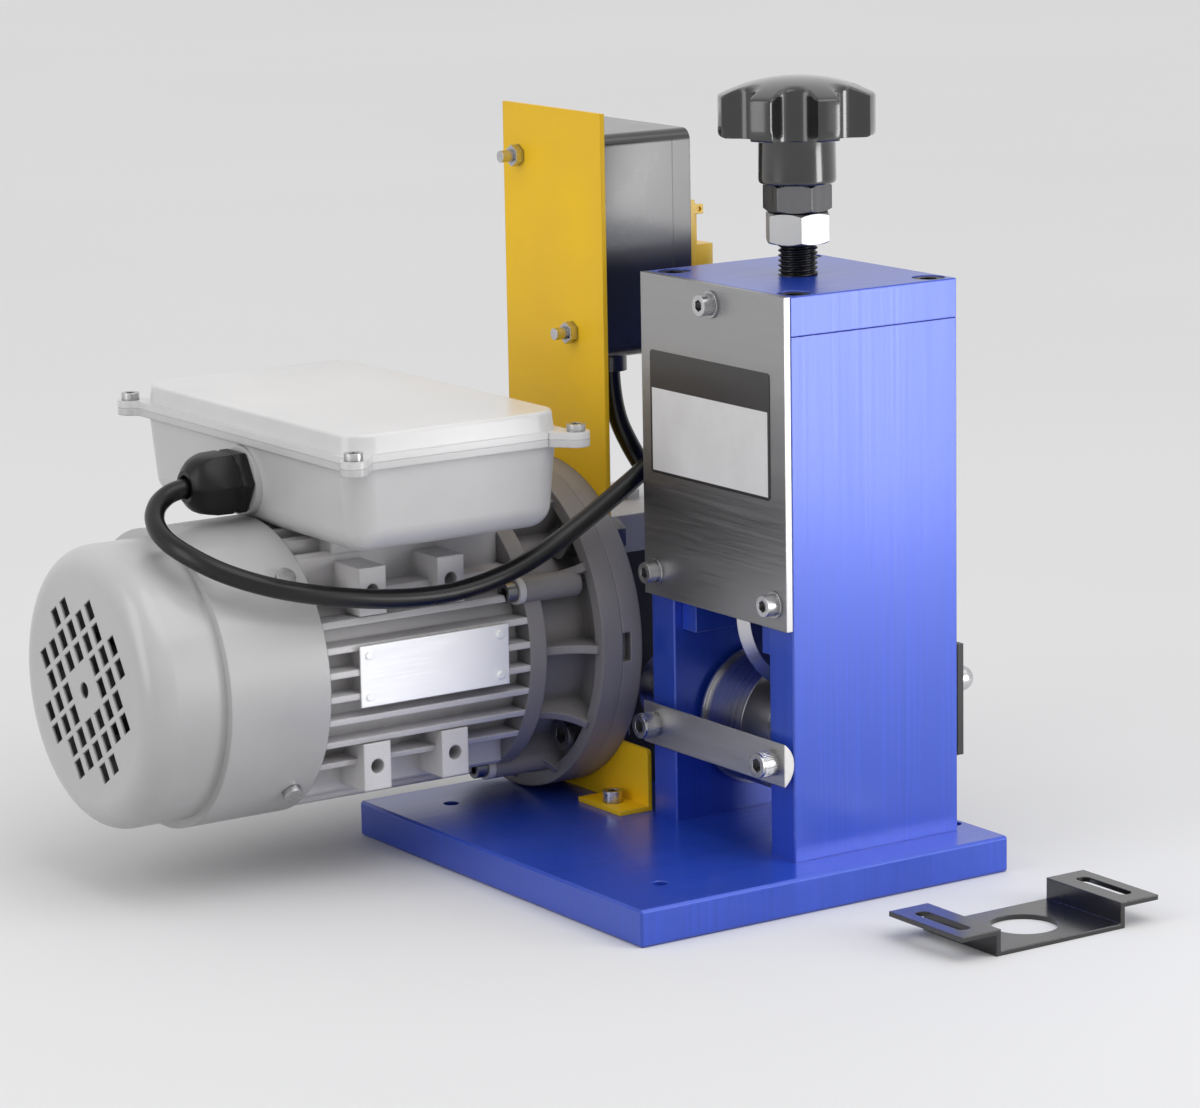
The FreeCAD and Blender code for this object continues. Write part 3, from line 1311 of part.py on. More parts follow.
def is_at_foot(edge):
    return edge.BoundBox.ZMax < ROUND_OFF


def is_at_lid_top(edge):
    return edge.BoundBox.ZMin > s.lid_height.value - ROUND_OFF


def ear_places():
    ear_x = s.box_length / 2 + s.ear_inset
    ear_y = s.box_width / 2 + s.ear_inset + s.ear_overhang
    return [(box_x + side * ear_x, motor_y + end * ear_y) for side in (-1, 1) for end in (-1, 1)]


def lip(foot):
    half_length = s.box_length / 2 + s.ear_inset
    half_width = s.box_width / 2 + s.ear_inset
    return block((box_x - half_length, motor_y - half_width, foot),
                 (half_length * 2, half_width * 2, s.lip_thickness))


def ears(foot, height, radius):
    return [rod(radius, height, (x, y, foot)) for x, y in ear_places()]


def ear_tabs(foot, height):
    """Straight-sided webs that run slantwise from the ears into the lip's corners."""
    half = s.ear_radius - s.ear_ease
    reach = half * math.sqrt(0.5)
    turns = ((45, 1, 1), (315, -1, 1), (135, 1, -1), (225, -1, -1))
    webs = []
    for (x, y), (angle, rise, run) in zip(ear_places(), turns):
        web = block((0, 0, foot), (s.ear_tab, half * 2, height))
        place(web, (x + reach * rise, y - reach * run, foot))
        web.Placement.Rotation = FreeCAD.Rotation(UP, angle)
        webs.append(web)
    return webs


def terminal_box():
    """Open box with a rounded foot that widens upwards to a lip with an ear at each corner."""
    flare = s.box_depth * angle_of(math.tan, "tan", s.box_draft)
    half_length = s.box_length / 2 - flare
    half_width = s.box_width / 2 - flare
    wall = s.box_wall
    shell = tapered("box_shell", box_floor, half_length, half_width, s.box_depth, s.box_draft,
                    s.box_rounding)
    hollow = tapered("box_hollow", box_floor + wall, half_length - wall, half_width - wall,
                     s.box_depth + s.lip_thickness - wall, s.box_draft, s.box_rounding - wall)
    foot_rounding = s.box_rounding - s.box_foot_ease
    break_edges(shell, foot_rounding, is_at_foot, "PartDesign::Fillet")
    break_edges(hollow, foot_rounding - wall, is_at_foot, "PartDesign::Fillet")
    ear_foot = lid_foot - s.ear_height
    boss = rod(s.gland_boss_diameter / 2, s.gland_boss_depth, (gland_face, motor_y, gland_z), "x")
    solid = fuse(shell, lip(lip_foot), *ears(ear_foot, s.ear_height, s.ear_radius),
                 *ear_tabs(ear_foot, s.ear_height), boss)
    tools = ears(ear_foot, s.ear_height, s.lid_screw_bore / 2)
    tools.append(rod(s.gland_shank_diameter / 2, s.gland_boss_depth,
                     (gland_face, motor_y, gland_z), "x"))
    tools.append(rod(s.wire_hole / 2, wall, (box_x, motor_y, box_floor)))
    return node("terminal_box", cut(solid, hollow, *tools))


def terminal_box_lid():
    """Shallow lid with round corners on a lip that matches the box's."""
    half_length = s.box_length / 2
    half_width = s.box_width / 2
    margin = s.lid_margin
    body = tapered("lid_blank", cover_foot, half_length, half_width, s.lid_height, -s.lid_draft,
                   s.lid_corner)
    break_edges(body, s.lid_edge, is_at_lid_top, "PartDesign::Fillet")
    solid = fuse(body, lip(lid_foot), *ears(lid_foot, s.lip_thickness, s.ear_radius),
                 *ear_tabs(lid_foot, s.lip_thickness))
    hollow = block((box_x - half_length + margin, motor_y - half_width + margin, lid_foot),
                   ((half_length - margin) * 2, (half_width - margin) * 2,
                    s.lip_thickness + s.lid_height - s.lid_wall))
    holes = ears(lid_foot, s.lip_thickness, s.lid_screw_bore / 2)
    return node("terminal_box_lid", cut(solid, hollow, *holes))


def lid_screws():
    length = s.ear_height + s.lip_thickness
    screws = [socket_screw(s.lid_screw_bore, s.lid_screw_head, s.lid_screw_height, length,
                           (x, y, cover_foot), "-z") for x, y in ear_places()]
    return node("lid_screws", together(*screws))


def cable_gland():
    """Screwed into the box's end: a threaded shank, a hexagon nut and a domed clamping cap."""
    nut = prism(6, s.gland_nut_diameter / 2, s.gland_nut_length, (gland_face, motor_y, gland_z),
                "-x")
    shank = rod(s.gland_shank_diameter / 2, s.gland_boss_depth, (gland_face, motor_y, gland_z),
                "x")
    dome = cone(s.gland_dome_diameter / 2, s.gland_tip_diameter / 2, s.gland_dome_length,
                (gland_face - s.gland_nut_length, motor_y, gland_z), "-x")
    bore = rod(s.cable_diameter / 2 + s.running_fit, s.gland_bore_depth,
               (gland_tip, motor_y, gland_z), "x")
    return node("cable_gland", cut(fuse(nut, shank, dome), bore))


# ---------------------------------------------------------------- switch box


def box_blank(label, x, depth, inset=0):
    """Rounded block of the switch box's outline, pulled in by an inset."""
    body = new_body(label, (x, s.box_near, s.switch_box_foot))
    high = (s.switch_box_width - inset, s.switch_box_height - inset)
    pad(body, rectangle(new_sketch(body, "YZ_Plane"), (inset, inset), high), depth)
    break_edges(body, s.switch_box_corner - inset, is_along_x, "PartDesign::Fillet")
    return body


def control_box():
    """Hollow box bolted to the column, with a cable grommet underneath."""
    wall = s.switch_box_wall
    shell = box_blank("switch_shell", switch_back, s.switch_box_depth)
    hollow = box_blank("switch_hollow", switch_back + wall, s.switch_box_depth - wall, wall)
    grommet = rod(s.grommet_radius, s.grommet_height + wall,
                  (s.grommet_x, s.grommet_y, s.switch_box_foot + wall), "-z")
    bore = rod(s.cable_diameter / 2 + s.running_fit, s.grommet_depth,
               (s.grommet_x, s.grommet_y, s.switch_box_foot - s.grommet_height))
    holes = [rod(s.box_bolt_bore / 2, wall, (switch_back, y, z), "x")
             for y, z in box_bolt_places()]
    return node("control_box", cut(fuse(cut(shell, hollow), grommet), bore, *holes))


def button_box(x, depth, foot, margin):
    """A block of a button's outline, widened all round by a margin."""
    near = switch_mid_y - s.button_width / 2
    return block((x, near - margin, foot - margin),
                 (depth, s.button_width + margin * 2, s.button_height + margin * 2))


def button_feet():
    return [s.button_low + s.button_spacing * row for row in range(2)]


def control_box_lid():
    cover = box_blank("switch_cover", switch_seam, s.switch_lid_depth)
    depth = s.switch_lid_depth - s.switch_lid_wall
    hollow = box_blank("switch_recess", switch_seam, depth, s.switch_box_wall)
    holes = [button_box(switch_face - s.switch_lid_wall, s.switch_lid_wall, foot, s.slack)
             for foot in button_feet()]
    return node("control_box_lid", cut(cover, hollow, *holes))


def push_button(label, foot):
    """Square button that runs in the lid, with a wider foot that stops it."""
    stem = button_box(switch_face - s.button_depth, s.button_depth + s.button_reach, foot, 0)
    flange_depth = s.button_depth - s.switch_lid_wall
    stop = button_box(switch_face - s.button_depth, flange_depth, foot, s.button_stop_margin)
    return node(label, fuse(stem, stop))


def control_box_bolts():
    """Bolts from inside the box through the column, with nuts behind it."""
    solids = []
    head_seat = switch_back + s.switch_box_wall
    for y, z in box_bolt_places():
        shank = rod(s.box_bolt_bore / 2, s.box_bolt_length, (head_seat, y, z), "-x")
        head = rod(s.small_screw_head / 2, s.box_bolt_head, (head_seat, y, z), "x")
        nut = prism(6, s.box_bolt_nut / 2, s.box_bolt_nut_height, (bracket_front, y, z), "-x")
        hole = rod(s.box_bolt_bore / 2, s.box_bolt_nut_height, (bracket_front, y, z), "-x")
        solids += [fuse(shank, head), cut(nut, hole)]
    return node("control_box_bolts", together(*solids))


def switch_frame():
    """Yellow surround with two ears for the flap's hinge."""
    frame = block((switch_face, frame_near, s.frame_foot),
                  (s.frame_thickness, s.frame_width, s.frame_height))
    margin = (s.frame_width - s.frame_opening) / 2
    opening = block((switch_face, frame_near + margin, s.frame_foot + s.frame_thickness),
                    (s.frame_thickness, s.frame_opening, s.flap_drop - s.frame_thickness))
    reach = flap_axis_x + s.flap_barrel_radius - switch_face
    radius = s.flap_barrel_radius
    ears_at = (frame_near, frame_near + s.frame_width - s.ear_wall)
    ear_blocks = [block((switch_face, y, flap_axis_z - radius), (reach, s.ear_wall, radius * 2))
                  for y in ears_at]
    pins = [rod(s.pin_radius + s.running_fit, s.ear_wall, (flap_axis_x, y, flap_axis_z), "y")
            for y in ears_at]
    return node("switch_frame", cut(fuse(frame, *ear_blocks), opening, *pins))


def switch_flap():
    """Flap hung from a barrel and pins, hollowed over the buttons."""
    near = frame_near + s.ear_wall + s.flap_gap
    width = s.frame_width - (s.ear_wall + s.flap_gap) * 2
    back = frame_face + s.flap_gap
    foot = flap_axis_z - s.flap_drop
    wall = s.flap_thickness
    barrel = rod(s.flap_barrel_radius, width, (flap_axis_x, near, flap_axis_z), "y")
    pin = rod(s.pin_radius, s.frame_width - s.ear_wall, (flap_axis_x, frame_near + s.ear_wall / 2,
                                                         flap_axis_z), "y")
    leaf = block((back, near, foot), (wall, width, s.flap_drop))
    bulge_height = s.flap_drop - s.bulge_drop
    bulge = block((back, near, foot), (wall + s.flap_bulge, width, bulge_height))
    hollow = block((back, near + wall, foot + wall),
                   (s.flap_bulge, width - wall * 2, bulge_height - wall * 2))
    return node("switch_flap", cut(fuse(barrel, pin, leaf, bulge), hollow))


# ---------------------------------------------------------------- motor cable

CABLE_ROUTE = [
    (-166.5, 88.4, 162), (-180, 88.4, 162), (-191, 84.8, 158), (-198.2, 75.5, 152.8),
    (-200.5, 62.5, 147.5), (-197, 48.5, 142.5), (-187.5, 36.5, 136), (-169, 27.5, 129),
    (-145, 23, 123.5), (-117, 21.8, 119), (-88, 21.5, 118.5), (-59, 21.6, 125),
    (-31, 22.2, 138.5), (-4, 23, 154), (20, 24.5, 168.5), (42, 27, 180), (63, 30.5, 182.5),
    (79, 34, 173), (85, 37.5, 155.5), (78, 40.5, 138), (61, 42.5, 129), (42, 44, 131),
    (26, 46, 142), (15, 49.5, 158.5), (7.4, 55, 179.5), (7.4, 55, 199.6),
]


def corner_radius(before, corner, after):
    """The arc's radius at a corner, from the shorter run and half the turn there."""
    shorter = min((corner - before).Length, (after - corner).Length)
    half_turn = (corner - before).getAngle(after - corner) / 2
    return 0.45 * shorter / math.tan(half_turn)


def route_edges(points):
    """Straight runs joined by tangent arcs."""
    edges = []
    start = points[0]
    for before, corner, after in zip(points, points[1:], points[2:]):
        arrive = (corner - before).normalize()
        leave = (after - corner).normalize()
        half_turn = arrive.getAngle(leave) / 2
        radius = corner_radius(before, corner, after)
        setback = radius * math.tan(half_turn)
        first = corner - arrive * setback
        last = corner + leave * setback
        inward = (leave - arrive).normalize()
        middle = corner + inward * (radius / math.cos(half_turn) - radius)
        edges.append(Part.LineSegment(start, first).toShape())
        edges.append(Part.Arc(first, middle, last).toShape())
        start = last
    edges.append(Part.LineSegment(start, points[-1]).toShape())
    return edges


def motor_cable():
    """Round cable from the motor's gland around to the switch box."""
    points = [Vector(*point) for point in CABLE_ROUTE]
    path = Part.Wire(route_edges(points))
    radius = s.cable_diameter.value / 2
    ring = Part.Wire(Part.makeCircle(radius, points[0], points[1] - points[0]))
    cable = doc.addObject("Part::Feature", "cable")
    cable.Shape = path.makePipeShell([ring], True, False)
    radii = [corner_radius(*trio) for trio in zip(points, points[1:], points[2:])]
    print("cable radii", [round(each) for each in radii])
    print("cable volume against section times length",
          round(cable.Shape.Volume / (math.pi * radius * radius * path.Length), 4))
    return node("motor_cable", cable)


# ---------------------------------------------------------------- loose bracket


def loose_bracket():
    """Hat-section bracket: a web with a round hole, two risers and two slotted ears."""
    sheet_wall = s.hat_thickness
    left, near = s.hat_left, s.hat_near
    right = left + s.hat_web
    top = s.hat_riser
    pieces = [block((left, near, 0), (s.hat_web, s.hat_depth, sheet_wall)),
              block((left, near, 0), (sheet_wall, s.hat_depth, top + sheet_wall)),
              block((right - sheet_wall, near, 0), (sheet_wall, s.hat_depth, top + sheet_wall)),
              block((left - s.hat_ear, near, top), (s.hat_ear + sheet_wall, s.hat_depth, sheet_wall)),
              block((right - sheet_wall, near, top),
                    (s.hat_ear + sheet_wall, s.hat_depth, sheet_wall))]
    tools = [rod(s.hat_bore / 2, sheet_wall, (left + s.hat_web / 2, near + s.hat_depth / 2, 0))]
    round_end = s.hat_slot_width / 2
    straight = s.hat_slot_length - s.hat_slot_width
    slot_near = near + (s.hat_depth - straight) / 2
    for middle in (left - s.hat_ear / 2, right + s.hat_ear / 2):
        tools.append(block((middle - round_end, slot_near, top),
                           (s.hat_slot_width, straight, sheet_wall)))
        tools += [rod(round_end, sheet_wall, (middle, y, top))
                  for y in (slot_near, slot_near + straight)]
    return node("loose_bracket", cut(fuse(*pieces), *tools))


# ---------------------------------------------------------------- build, check and write


def check_document():
    """Stop at the first object that failed and at the first node without a sound shape."""
    for thing in doc.Objects:
        bad = [state for state in thing.State if state in ("Invalid", "Error")]
        if bad:
            owner = [each.Label for each in thing.InList]
            raise SystemExit(f"{thing.Name} in {owner} is {bad}")
    for thing in nodes:
        if thing.Shape.isNull() or not thing.Shape.isValid():
            raise SystemExit(f"{thing.Label} has no sound shape")


def main():
    for build in (base_plate, base_screws, near_side_plate, far_side_plate, tower_cap, cap_screws,
                  guard_plate, guard_screws, exit_bar, exit_bar_screws, feed_plate,
                  feed_plate_screws, guide_keys, blade_carriage, carriage_bushes, thrust_plate,
                  blade_shaft, blade_wheel, blade_collars, drive_roller, drive_shaft,
                  drive_bearings, adjusting_screw, jam_nut, lock_nut, knob, gearbox_housing,
                  gearbox_cover, gearbox_cover_screws, gearbox_flange, worm, worm_wheel,
                  motor_bracket, foot_screw, flange_bolts, front_end_shield, shield_screws,
                  motor_housing, nameplate, stator, rotor_core, motor_shaft, motor_bearings,
                  rear_end_shield, fan_cover_screws, fan_cover, cooling_fan, terminal_box,
                  terminal_box_lid, lid_screws, cable_gland, control_box, control_box_lid,
                  control_box_bolts, switch_frame, switch_flap, motor_cable, loose_bracket):
        build()
    for label, foot in zip(("stop_button", "start_button"), button_feet()):
        push_button(label, foot)
    doc.recompute()
    check_document()
    os.makedirs("parts", exist_ok=True)
    for thing in nodes:
        thing.Shape.exportStep(f"parts/{thing.Label}.step")
        print(f"{thing.Label}: {len(thing.Shape.Solids)} solids, {thing.Shape.Volume:.0f} mm3")


main()
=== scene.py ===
"""Dresses a motor-driven bench wire stripper: paint, metal and plastic finishes, the adjusting
thread, the star knob, the cable and its gland, the blank plates, and a plain studio round it."""
import math

import bmesh
import bpy
from mathutils import Matrix, Vector


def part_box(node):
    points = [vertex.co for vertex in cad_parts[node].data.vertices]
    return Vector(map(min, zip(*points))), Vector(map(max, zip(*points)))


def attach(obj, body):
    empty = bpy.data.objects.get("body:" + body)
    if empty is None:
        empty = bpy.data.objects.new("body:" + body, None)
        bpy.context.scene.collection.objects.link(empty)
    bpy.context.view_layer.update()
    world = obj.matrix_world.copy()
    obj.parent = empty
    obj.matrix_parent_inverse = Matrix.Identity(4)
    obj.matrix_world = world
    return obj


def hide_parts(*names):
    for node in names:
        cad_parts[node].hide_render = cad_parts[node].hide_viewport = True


bl_info = {
    "name": "Wire Stripper Dressing",
    "version": (1, 0, 0),
    "blender": (4, 5, 0),
    "location": "View3D > Sidebar > Wire Stripper",
    "description": "Finishes, thread, knob, cable and studio for a bench wire stripper",
    "category": "Object",
}

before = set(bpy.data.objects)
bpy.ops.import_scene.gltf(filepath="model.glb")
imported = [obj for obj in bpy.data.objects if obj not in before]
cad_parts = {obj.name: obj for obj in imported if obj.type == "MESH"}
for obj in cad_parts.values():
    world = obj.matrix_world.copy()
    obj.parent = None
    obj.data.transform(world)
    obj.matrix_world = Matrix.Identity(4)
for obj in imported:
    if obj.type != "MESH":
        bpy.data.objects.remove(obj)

MM = 0.001
SHORTEST = 0.01
LONGEST = 2000


def tone(red, green, blue):
    """Screen values of 0 to 255 as the linear colour that a shader takes."""
    shares = [value / 255 for value in (red, green, blue)]
    return tuple(share / 12.92 if share <= 0.04045 else ((share + 0.055) / 1.055) ** 2.4
                 for share in shares)


def node_box(name):
    """A node's lowest and highest corners in millimetres."""
    low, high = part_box(name)
    return low / MM, high / MM


KNOB_LOW, KNOB_HIGH = node_box("knob")
SCREW_LOW, SCREW_HIGH = node_box("adjusting_screw")
GUARD_FACE = node_box("guard_plate")[0].x
GLAND_LOW, GLAND_HIGH = node_box("cable_gland")
ADJUST_X = (SCREW_LOW.x + SCREW_HIGH.x) / 2
ADJUST_Y = (SCREW_LOW.y + SCREW_HIGH.y) / 2
GLAND_Y = (GLAND_LOW.y + GLAND_HIGH.y) / 2
GLAND_Z = (GLAND_LOW.z + GLAND_HIGH.z) / 2

CABLE_ROUTE = [
    (-0.1665, 0.0884, 0.162), (-0.180, 0.0884, 0.162), (-0.191, 0.0848, 0.158),
    (-0.1982, 0.0755, 0.1528), (-0.2005, 0.0625, 0.1475), (-0.197, 0.0485, 0.1425),
    (-0.1875, 0.0365, 0.136), (-0.169, 0.0275, 0.129), (-0.145, 0.023, 0.1235),
    (-0.117, 0.0218, 0.119), (-0.088, 0.0215, 0.1185), (-0.059, 0.0216, 0.125),
    (-0.031, 0.0222, 0.1385), (-0.004, 0.023, 0.154), (0.020, 0.0245, 0.1685),
    (0.042, 0.027, 0.180), (0.063, 0.0305, 0.1825), (0.079, 0.034, 0.173),
    (0.085, 0.0375, 0.1555), (0.078, 0.0405, 0.138), (0.061, 0.0425, 0.129),
    (0.042, 0.044, 0.131), (0.026, 0.046, 0.142), (0.015, 0.0495, 0.1585),
    (0.0074, 0.055, 0.1795), (0.0074, 0.055, 0.1996),
]


# ---------------------------------------------------------------- sizes and colours


def length_setting(name, text, millimetres):
    return bpy.props.FloatProperty(name=name, description=text, default=millimetres * MM,
                                   min=SHORTEST * MM, max=LONGEST * MM, unit="LENGTH",
                                   precision=5)


def colour_setting(name, text, colour):
    return bpy.props.FloatVectorProperty(name=name, description=text, default=colour, size=3,
                                         min=0, max=1, subtype="COLOR")


class StripperSizes(bpy.types.PropertyGroup):
    """Sizes of the pieces that the dressing adds."""

    thread_pitch: length_setting("Thread pitch", "Rise of the adjusting thread per turn", 2)
    thread_depth: length_setting("Thread depth", "Depth of the adjusting thread", 1.2)
    knob_scallop: length_setting("Scallop radius", "Radius of each scallop of the knob", 8.5)
    knob_reach: length_setting("Scallop reach", "From the knob's axis to a scallop's middle", 31)
    knob_phase: bpy.props.FloatProperty(name="Knob phase", description="Turn of the first scallop",
                                        default=math.radians(26.5), subtype="ANGLE")
    knob_lobes: bpy.props.IntProperty(name="Lobes", description="Lobes round the star knob",
                                      default=7, min=3, max=12)
    cable_diameter: length_setting("Cable diameter", "Outside of the motor cable", 8)
    panel_width: length_setting("Panel width", "Width of the blank panel on the guard", 82)
    panel_height: length_setting("Panel height", "Height of the blank panel on the guard", 50.5)
    panel_band: length_setting("Panel band", "Height of the dark band on the panel", 15.5)
    panel_top: length_setting("Panel top", "Height of the panel's upper edge", 210.6)
    panel_middle: bpy.props.FloatProperty(
        name="Panel middle", description="The panel's middle across the guard",
        default=-35.2 * MM, unit="LENGTH", precision=5)


class StripperColours(bpy.types.PropertyGroup):
    """Colours of the finishes."""

    blue: colour_setting("Blue", "Anodised plates of base and tower", tone(38, 77, 198))
    yellow: colour_setting("Yellow", "Powder coat of the motor bracket", tone(252, 200, 0))
    box_grey: colour_setting("Box grey", "Paint of terminal box and fan cover",
                             tone(202, 201, 201))
    motor_grey: colour_setting("Motor grey", "Paint of the finned barrel", tone(216, 214, 215))
    # Painted shade: the motor's grey darkened for the end shield and flange, which stand in less
    # light.
    flange_grey_painted_shade: colour_setting("Flange grey", "Paint of end shield and flange",
                                tone(142, 139, 140))
    switch_black: colour_setting("Switch black", "Plastic of the switch box", tone(30, 30, 31))
    knob_black: colour_setting("Knob black", "Plastic of the star knob", tone(24, 24, 24))


class StripperStudio(bpy.types.PropertyGroup):
    """Lamps, floor and camera."""

    key_strength: bpy.props.FloatProperty(name="Key", description="Strength of the main lamp",
                                          default=0.8, min=0, max=20)
    left_power: bpy.props.FloatProperty(name="Left panel", description="Power of the left panel",
                                        default=5, min=0, max=500, unit="POWER")
    right_power: bpy.props.FloatProperty(name="Right panel", default=1.5, min=0, max=500,
                                         description="Power of the right panel", unit="POWER")
    low_power: bpy.props.FloatProperty(name="Low panel", default=1.7, min=0, max=500,
                                       description="Power of the low front panel", unit="POWER")
    sky_level: bpy.props.FloatProperty(name="Sky", description="Light from straight above",
                                       default=1.0, min=0, max=5)
    sky_edge: bpy.props.FloatProperty(name="Sky edge", description="Light from the horizon",
                                      default=0.2, min=0, max=5)
    background: colour_setting("Background", "Pale colour behind the machine",
                               tone(221, 221, 222))
    lens: bpy.props.FloatProperty(name="Lens", description="Focal length of the camera",
                                  default=133.1, min=10, max=400, unit="CAMERA")


# ---------------------------------------------------------------- finishes


class NodeWork:
    """Adds nodes to self.tree, and sets or links their sockets."""

    def new(self, kind, **settings):
        node = self.tree.nodes.new(kind)
        for name, value in settings.items():
            setattr(node, name, value)
        return node

    def put(self, node, **inputs):
        """Set or link sockets by name, with an underscore for each space."""
        for name, value in inputs.items():
            self.join(value, node.inputs[name.replace("_", " ")])
        return node

    def join(self, value, socket):
        if isinstance(value, bpy.types.NodeSocket):
            self.tree.links.new(value, socket)
        else:
            socket.default_value = value


class Finish(NodeWork):
    """A node material being built round one Principled shader."""

    def __init__(self, name, colour, roughness, metallic=0.0):
        self.material = bpy.data.materials.new(name)
        self.material.use_nodes = True
        self.tree = self.material.node_tree
        self.shader = self.tree.nodes["Principled BSDF"]
        self.put(self.shader, Base_Color=(*colour, 1), Roughness=roughness, Metallic=metallic)
        self.material.diffuse_color = (*colour, 1)
        self.place = self.new("ShaderNodeTexCoord").outputs["Object"]

    def stretched(self, stretch, shift=0):
        if stretch == (1, 1, 1) and not shift:
            return self.place
        mapping = self.new("ShaderNodeMapping")
        self.put(mapping, Vector=self.place, Scale=stretch, Location=(shift, shift, shift))
        return mapping.outputs["Vector"]

    def noise(self, scale, detail=3, rough=0.5, stretch=(1, 1, 1), shift=0):
        node = self.new("ShaderNodeTexNoise")
        self.put(node, Vector=self.stretched(stretch, shift), Scale=scale, Detail=detail,
                 Roughness=rough)
        return node.outputs["Fac"]

    def cells(self, scale, shift):
        node = self.new("ShaderNodeTexVoronoi")
        self.put(node, Vector=self.stretched((1, 1, 1), shift), Scale=scale)
        return node.outputs["Distance"]

    def span(self, value, low, high, start=0.0, end=1.0):
        """Rescale a value from low and high to start and end, and hold it there."""
        node = self.new("ShaderNodeMapRange")
        self.put(node, Value=value, From_Min=low, From_Max=high, To_Min=start, To_Max=end)
        return node.outputs["Result"]

    def sum_up(self, first, second, operation="ADD"):
        node = self.new("ShaderNodeMath", operation=operation)
        self.join(first, node.inputs[0])
        self.join(second, node.inputs[1])
        return node.outputs["Value"]

    def blend(self, amount, first, second):
        """Mix two colours, each a value or a socket."""
        node = self.new("ShaderNodeMix", data_type="RGBA")
        self.join(amount, node.inputs[0])
        self.join(first if isinstance(first, bpy.types.NodeSocket) else (*first, 1),
                  node.inputs[6])
        self.join(second if isinstance(second, bpy.types.NodeSocket) else (*second, 1),
                  node.inputs[7])
        return node.outputs[2]

    def axis_share(self, axis):
        """How squarely the surface faces along one axis, from 0 to 1."""
        parts = self.new("ShaderNodeSeparateXYZ")
        self.put(parts, Vector=self.new("ShaderNodeNewGeometry").outputs["Normal"])
        node = self.new("ShaderNodeMath", operation="ABSOLUTE")
        self.join(parts.outputs[axis], node.inputs[0])
        return node.outputs["Value"]

    def edges(self, radius):
        """A mask that is 1 on sharp edges and 0 away from them."""
        soft = self.new("ShaderNodeBevel", samples=6)
        self.put(soft, Radius=radius)
        dot = self.new("ShaderNodeVectorMath", operation="DOT_PRODUCT")
        self.join(soft.outputs["Normal"], dot.inputs[0])
        self.join(self.new("ShaderNodeNewGeometry").outputs["Normal"], dot.inputs[1])
        return self.span(self.sum_up(1.0, dot.outputs["Value"], "SUBTRACT"), 0.02, 0.25)

    def relief(self, height, depth, radius=0.0006):
        """Bump on top of softly rounded edges."""
        soft = self.new("ShaderNodeBevel", samples=6)
        self.put(soft, Radius=radius)
        bump = self.new("ShaderNodeBump")
        self.put(bump, Height=height, Distance=depth, Strength=1.0,
                 Normal=soft.outputs["Normal"])
        self.put(self.shader, Normal=bump.outputs["Normal"])
        return self

    def colour(self, value):
        self.put(self.shader, Base_Color=value)
        return self

    def rough(self, value):
        self.put(self.shader, Roughness=value)
        return self

    def coat(self, weight, roughness):
        self.put(self.shader, Coat_Weight=weight, Coat_Roughness=roughness)
        return self


def shade(colour, factor):
    return tuple(min(1, each * factor) for each in colour)


def seen_rays(tree):
    """A socket that is 1 for what is seen straight, mirrored or through glass, 0 for light."""
    rays = tree.nodes.new("ShaderNodeLightPath").outputs
    seen = rays["Is Camera Ray"]
    for other in ("Is Glossy Ray", "Is Transmission Ray"):
        either = tree.nodes.new("ShaderNodeMath")
        either.operation = "MAXIMUM"
        tree.links.new(seen, either.inputs[0])
        tree.links.new(rays[other], either.inputs[1])
        seen = either.outputs[0]
    return seen


def anodised(name, colour):
    """Coloured anodised plate: soft brushing under a bright clear film."""
    finish = Finish(name, colour, 0.34, 0.25)
    upright = finish.noise(700, 3, 0.5, (1, 1, 0.012))
    flat = finish.noise(700, 3, 0.5, (0.02, 1, 1), 3)
    streaks = finish.new("ShaderNodeMix", data_type="FLOAT")
    finish.join(finish.axis_share(2), streaks.inputs[0])
    finish.join(upright, streaks.inputs[2])
    finish.join(flat, streaks.inputs[3])
    streak = streaks.outputs[0]
    cloud = finish.noise(9, 3, 0.5, (1, 1, 1), 7)
    tint = finish.blend(finish.span(streak, 0.3, 0.7), shade(colour, 0.92), shade(colour, 1.08))
    tint = finish.blend(finish.span(cloud, 0.3, 0.75, 0.0, 0.25), tint, shade(colour, 0.85))
    scratches = finish.noise(180, 2, 0.4, (1.2, 1, 0.012), 11)
    worn = finish.blend(finish.span(scratches, 0.66, 0.76, 0.0, 0.16), tint,
                        shade(colour, 1.8))
    rim = finish.sum_up(finish.edges(0.0009), finish.noise(300, 3, 0.6, shift=5), "MULTIPLY")
    worn = finish.blend(finish.span(rim, 0.1, 0.6, 0.0, 0.6), worn, tone(160, 170, 230))
    finish.colour(worn)
    finish.rough(finish.span(streak, 0.25, 0.75, 0.3, 0.42))
    finish.put(finish.shader, IOR=1.55)
    finish.coat(0.6, 0.2)
    finish.relief(streak, 0.000008, 0.0007)
    return finish.material


def painted(name, colour, roughness, grain=900, depth=0.00003, coat=0.25, wear=0.25,
            bare=(0.42, 0.42, 0.42)):
    """Sprayed or powder-coated metal: orange peel, dust and a little wear on edges."""
    finish = Finish(name, colour, roughness)
    peel = finish.noise(grain, 2, 0.4)
    cloud = finish.noise(14, 4, 0.55, shift=2)
    dust = finish.cells(1500, 4)
    tint = finish.blend(finish.span(cloud, 0.3, 0.7), shade(colour, 0.93), shade(colour, 1.06))
    tint = finish.blend(finish.span(dust, 0.05, 0.12, 0.18, 0.0), tint, shade(colour, 0.6))
    rim = finish.sum_up(finish.edges(0.0008), finish.noise(420, 3, 0.6, shift=6), "MULTIPLY")
    tint = finish.blend(finish.span(rim, 0.3, 0.7, 0.0, wear), tint, bare)
    finish.colour(tint)
    finish.rough(finish.span(cloud, 0.3, 0.7, roughness * 0.85, roughness * 1.15))
    finish.coat(coat, 0.18)
    finish.relief(peel, depth, 0.0009)
    return finish.material


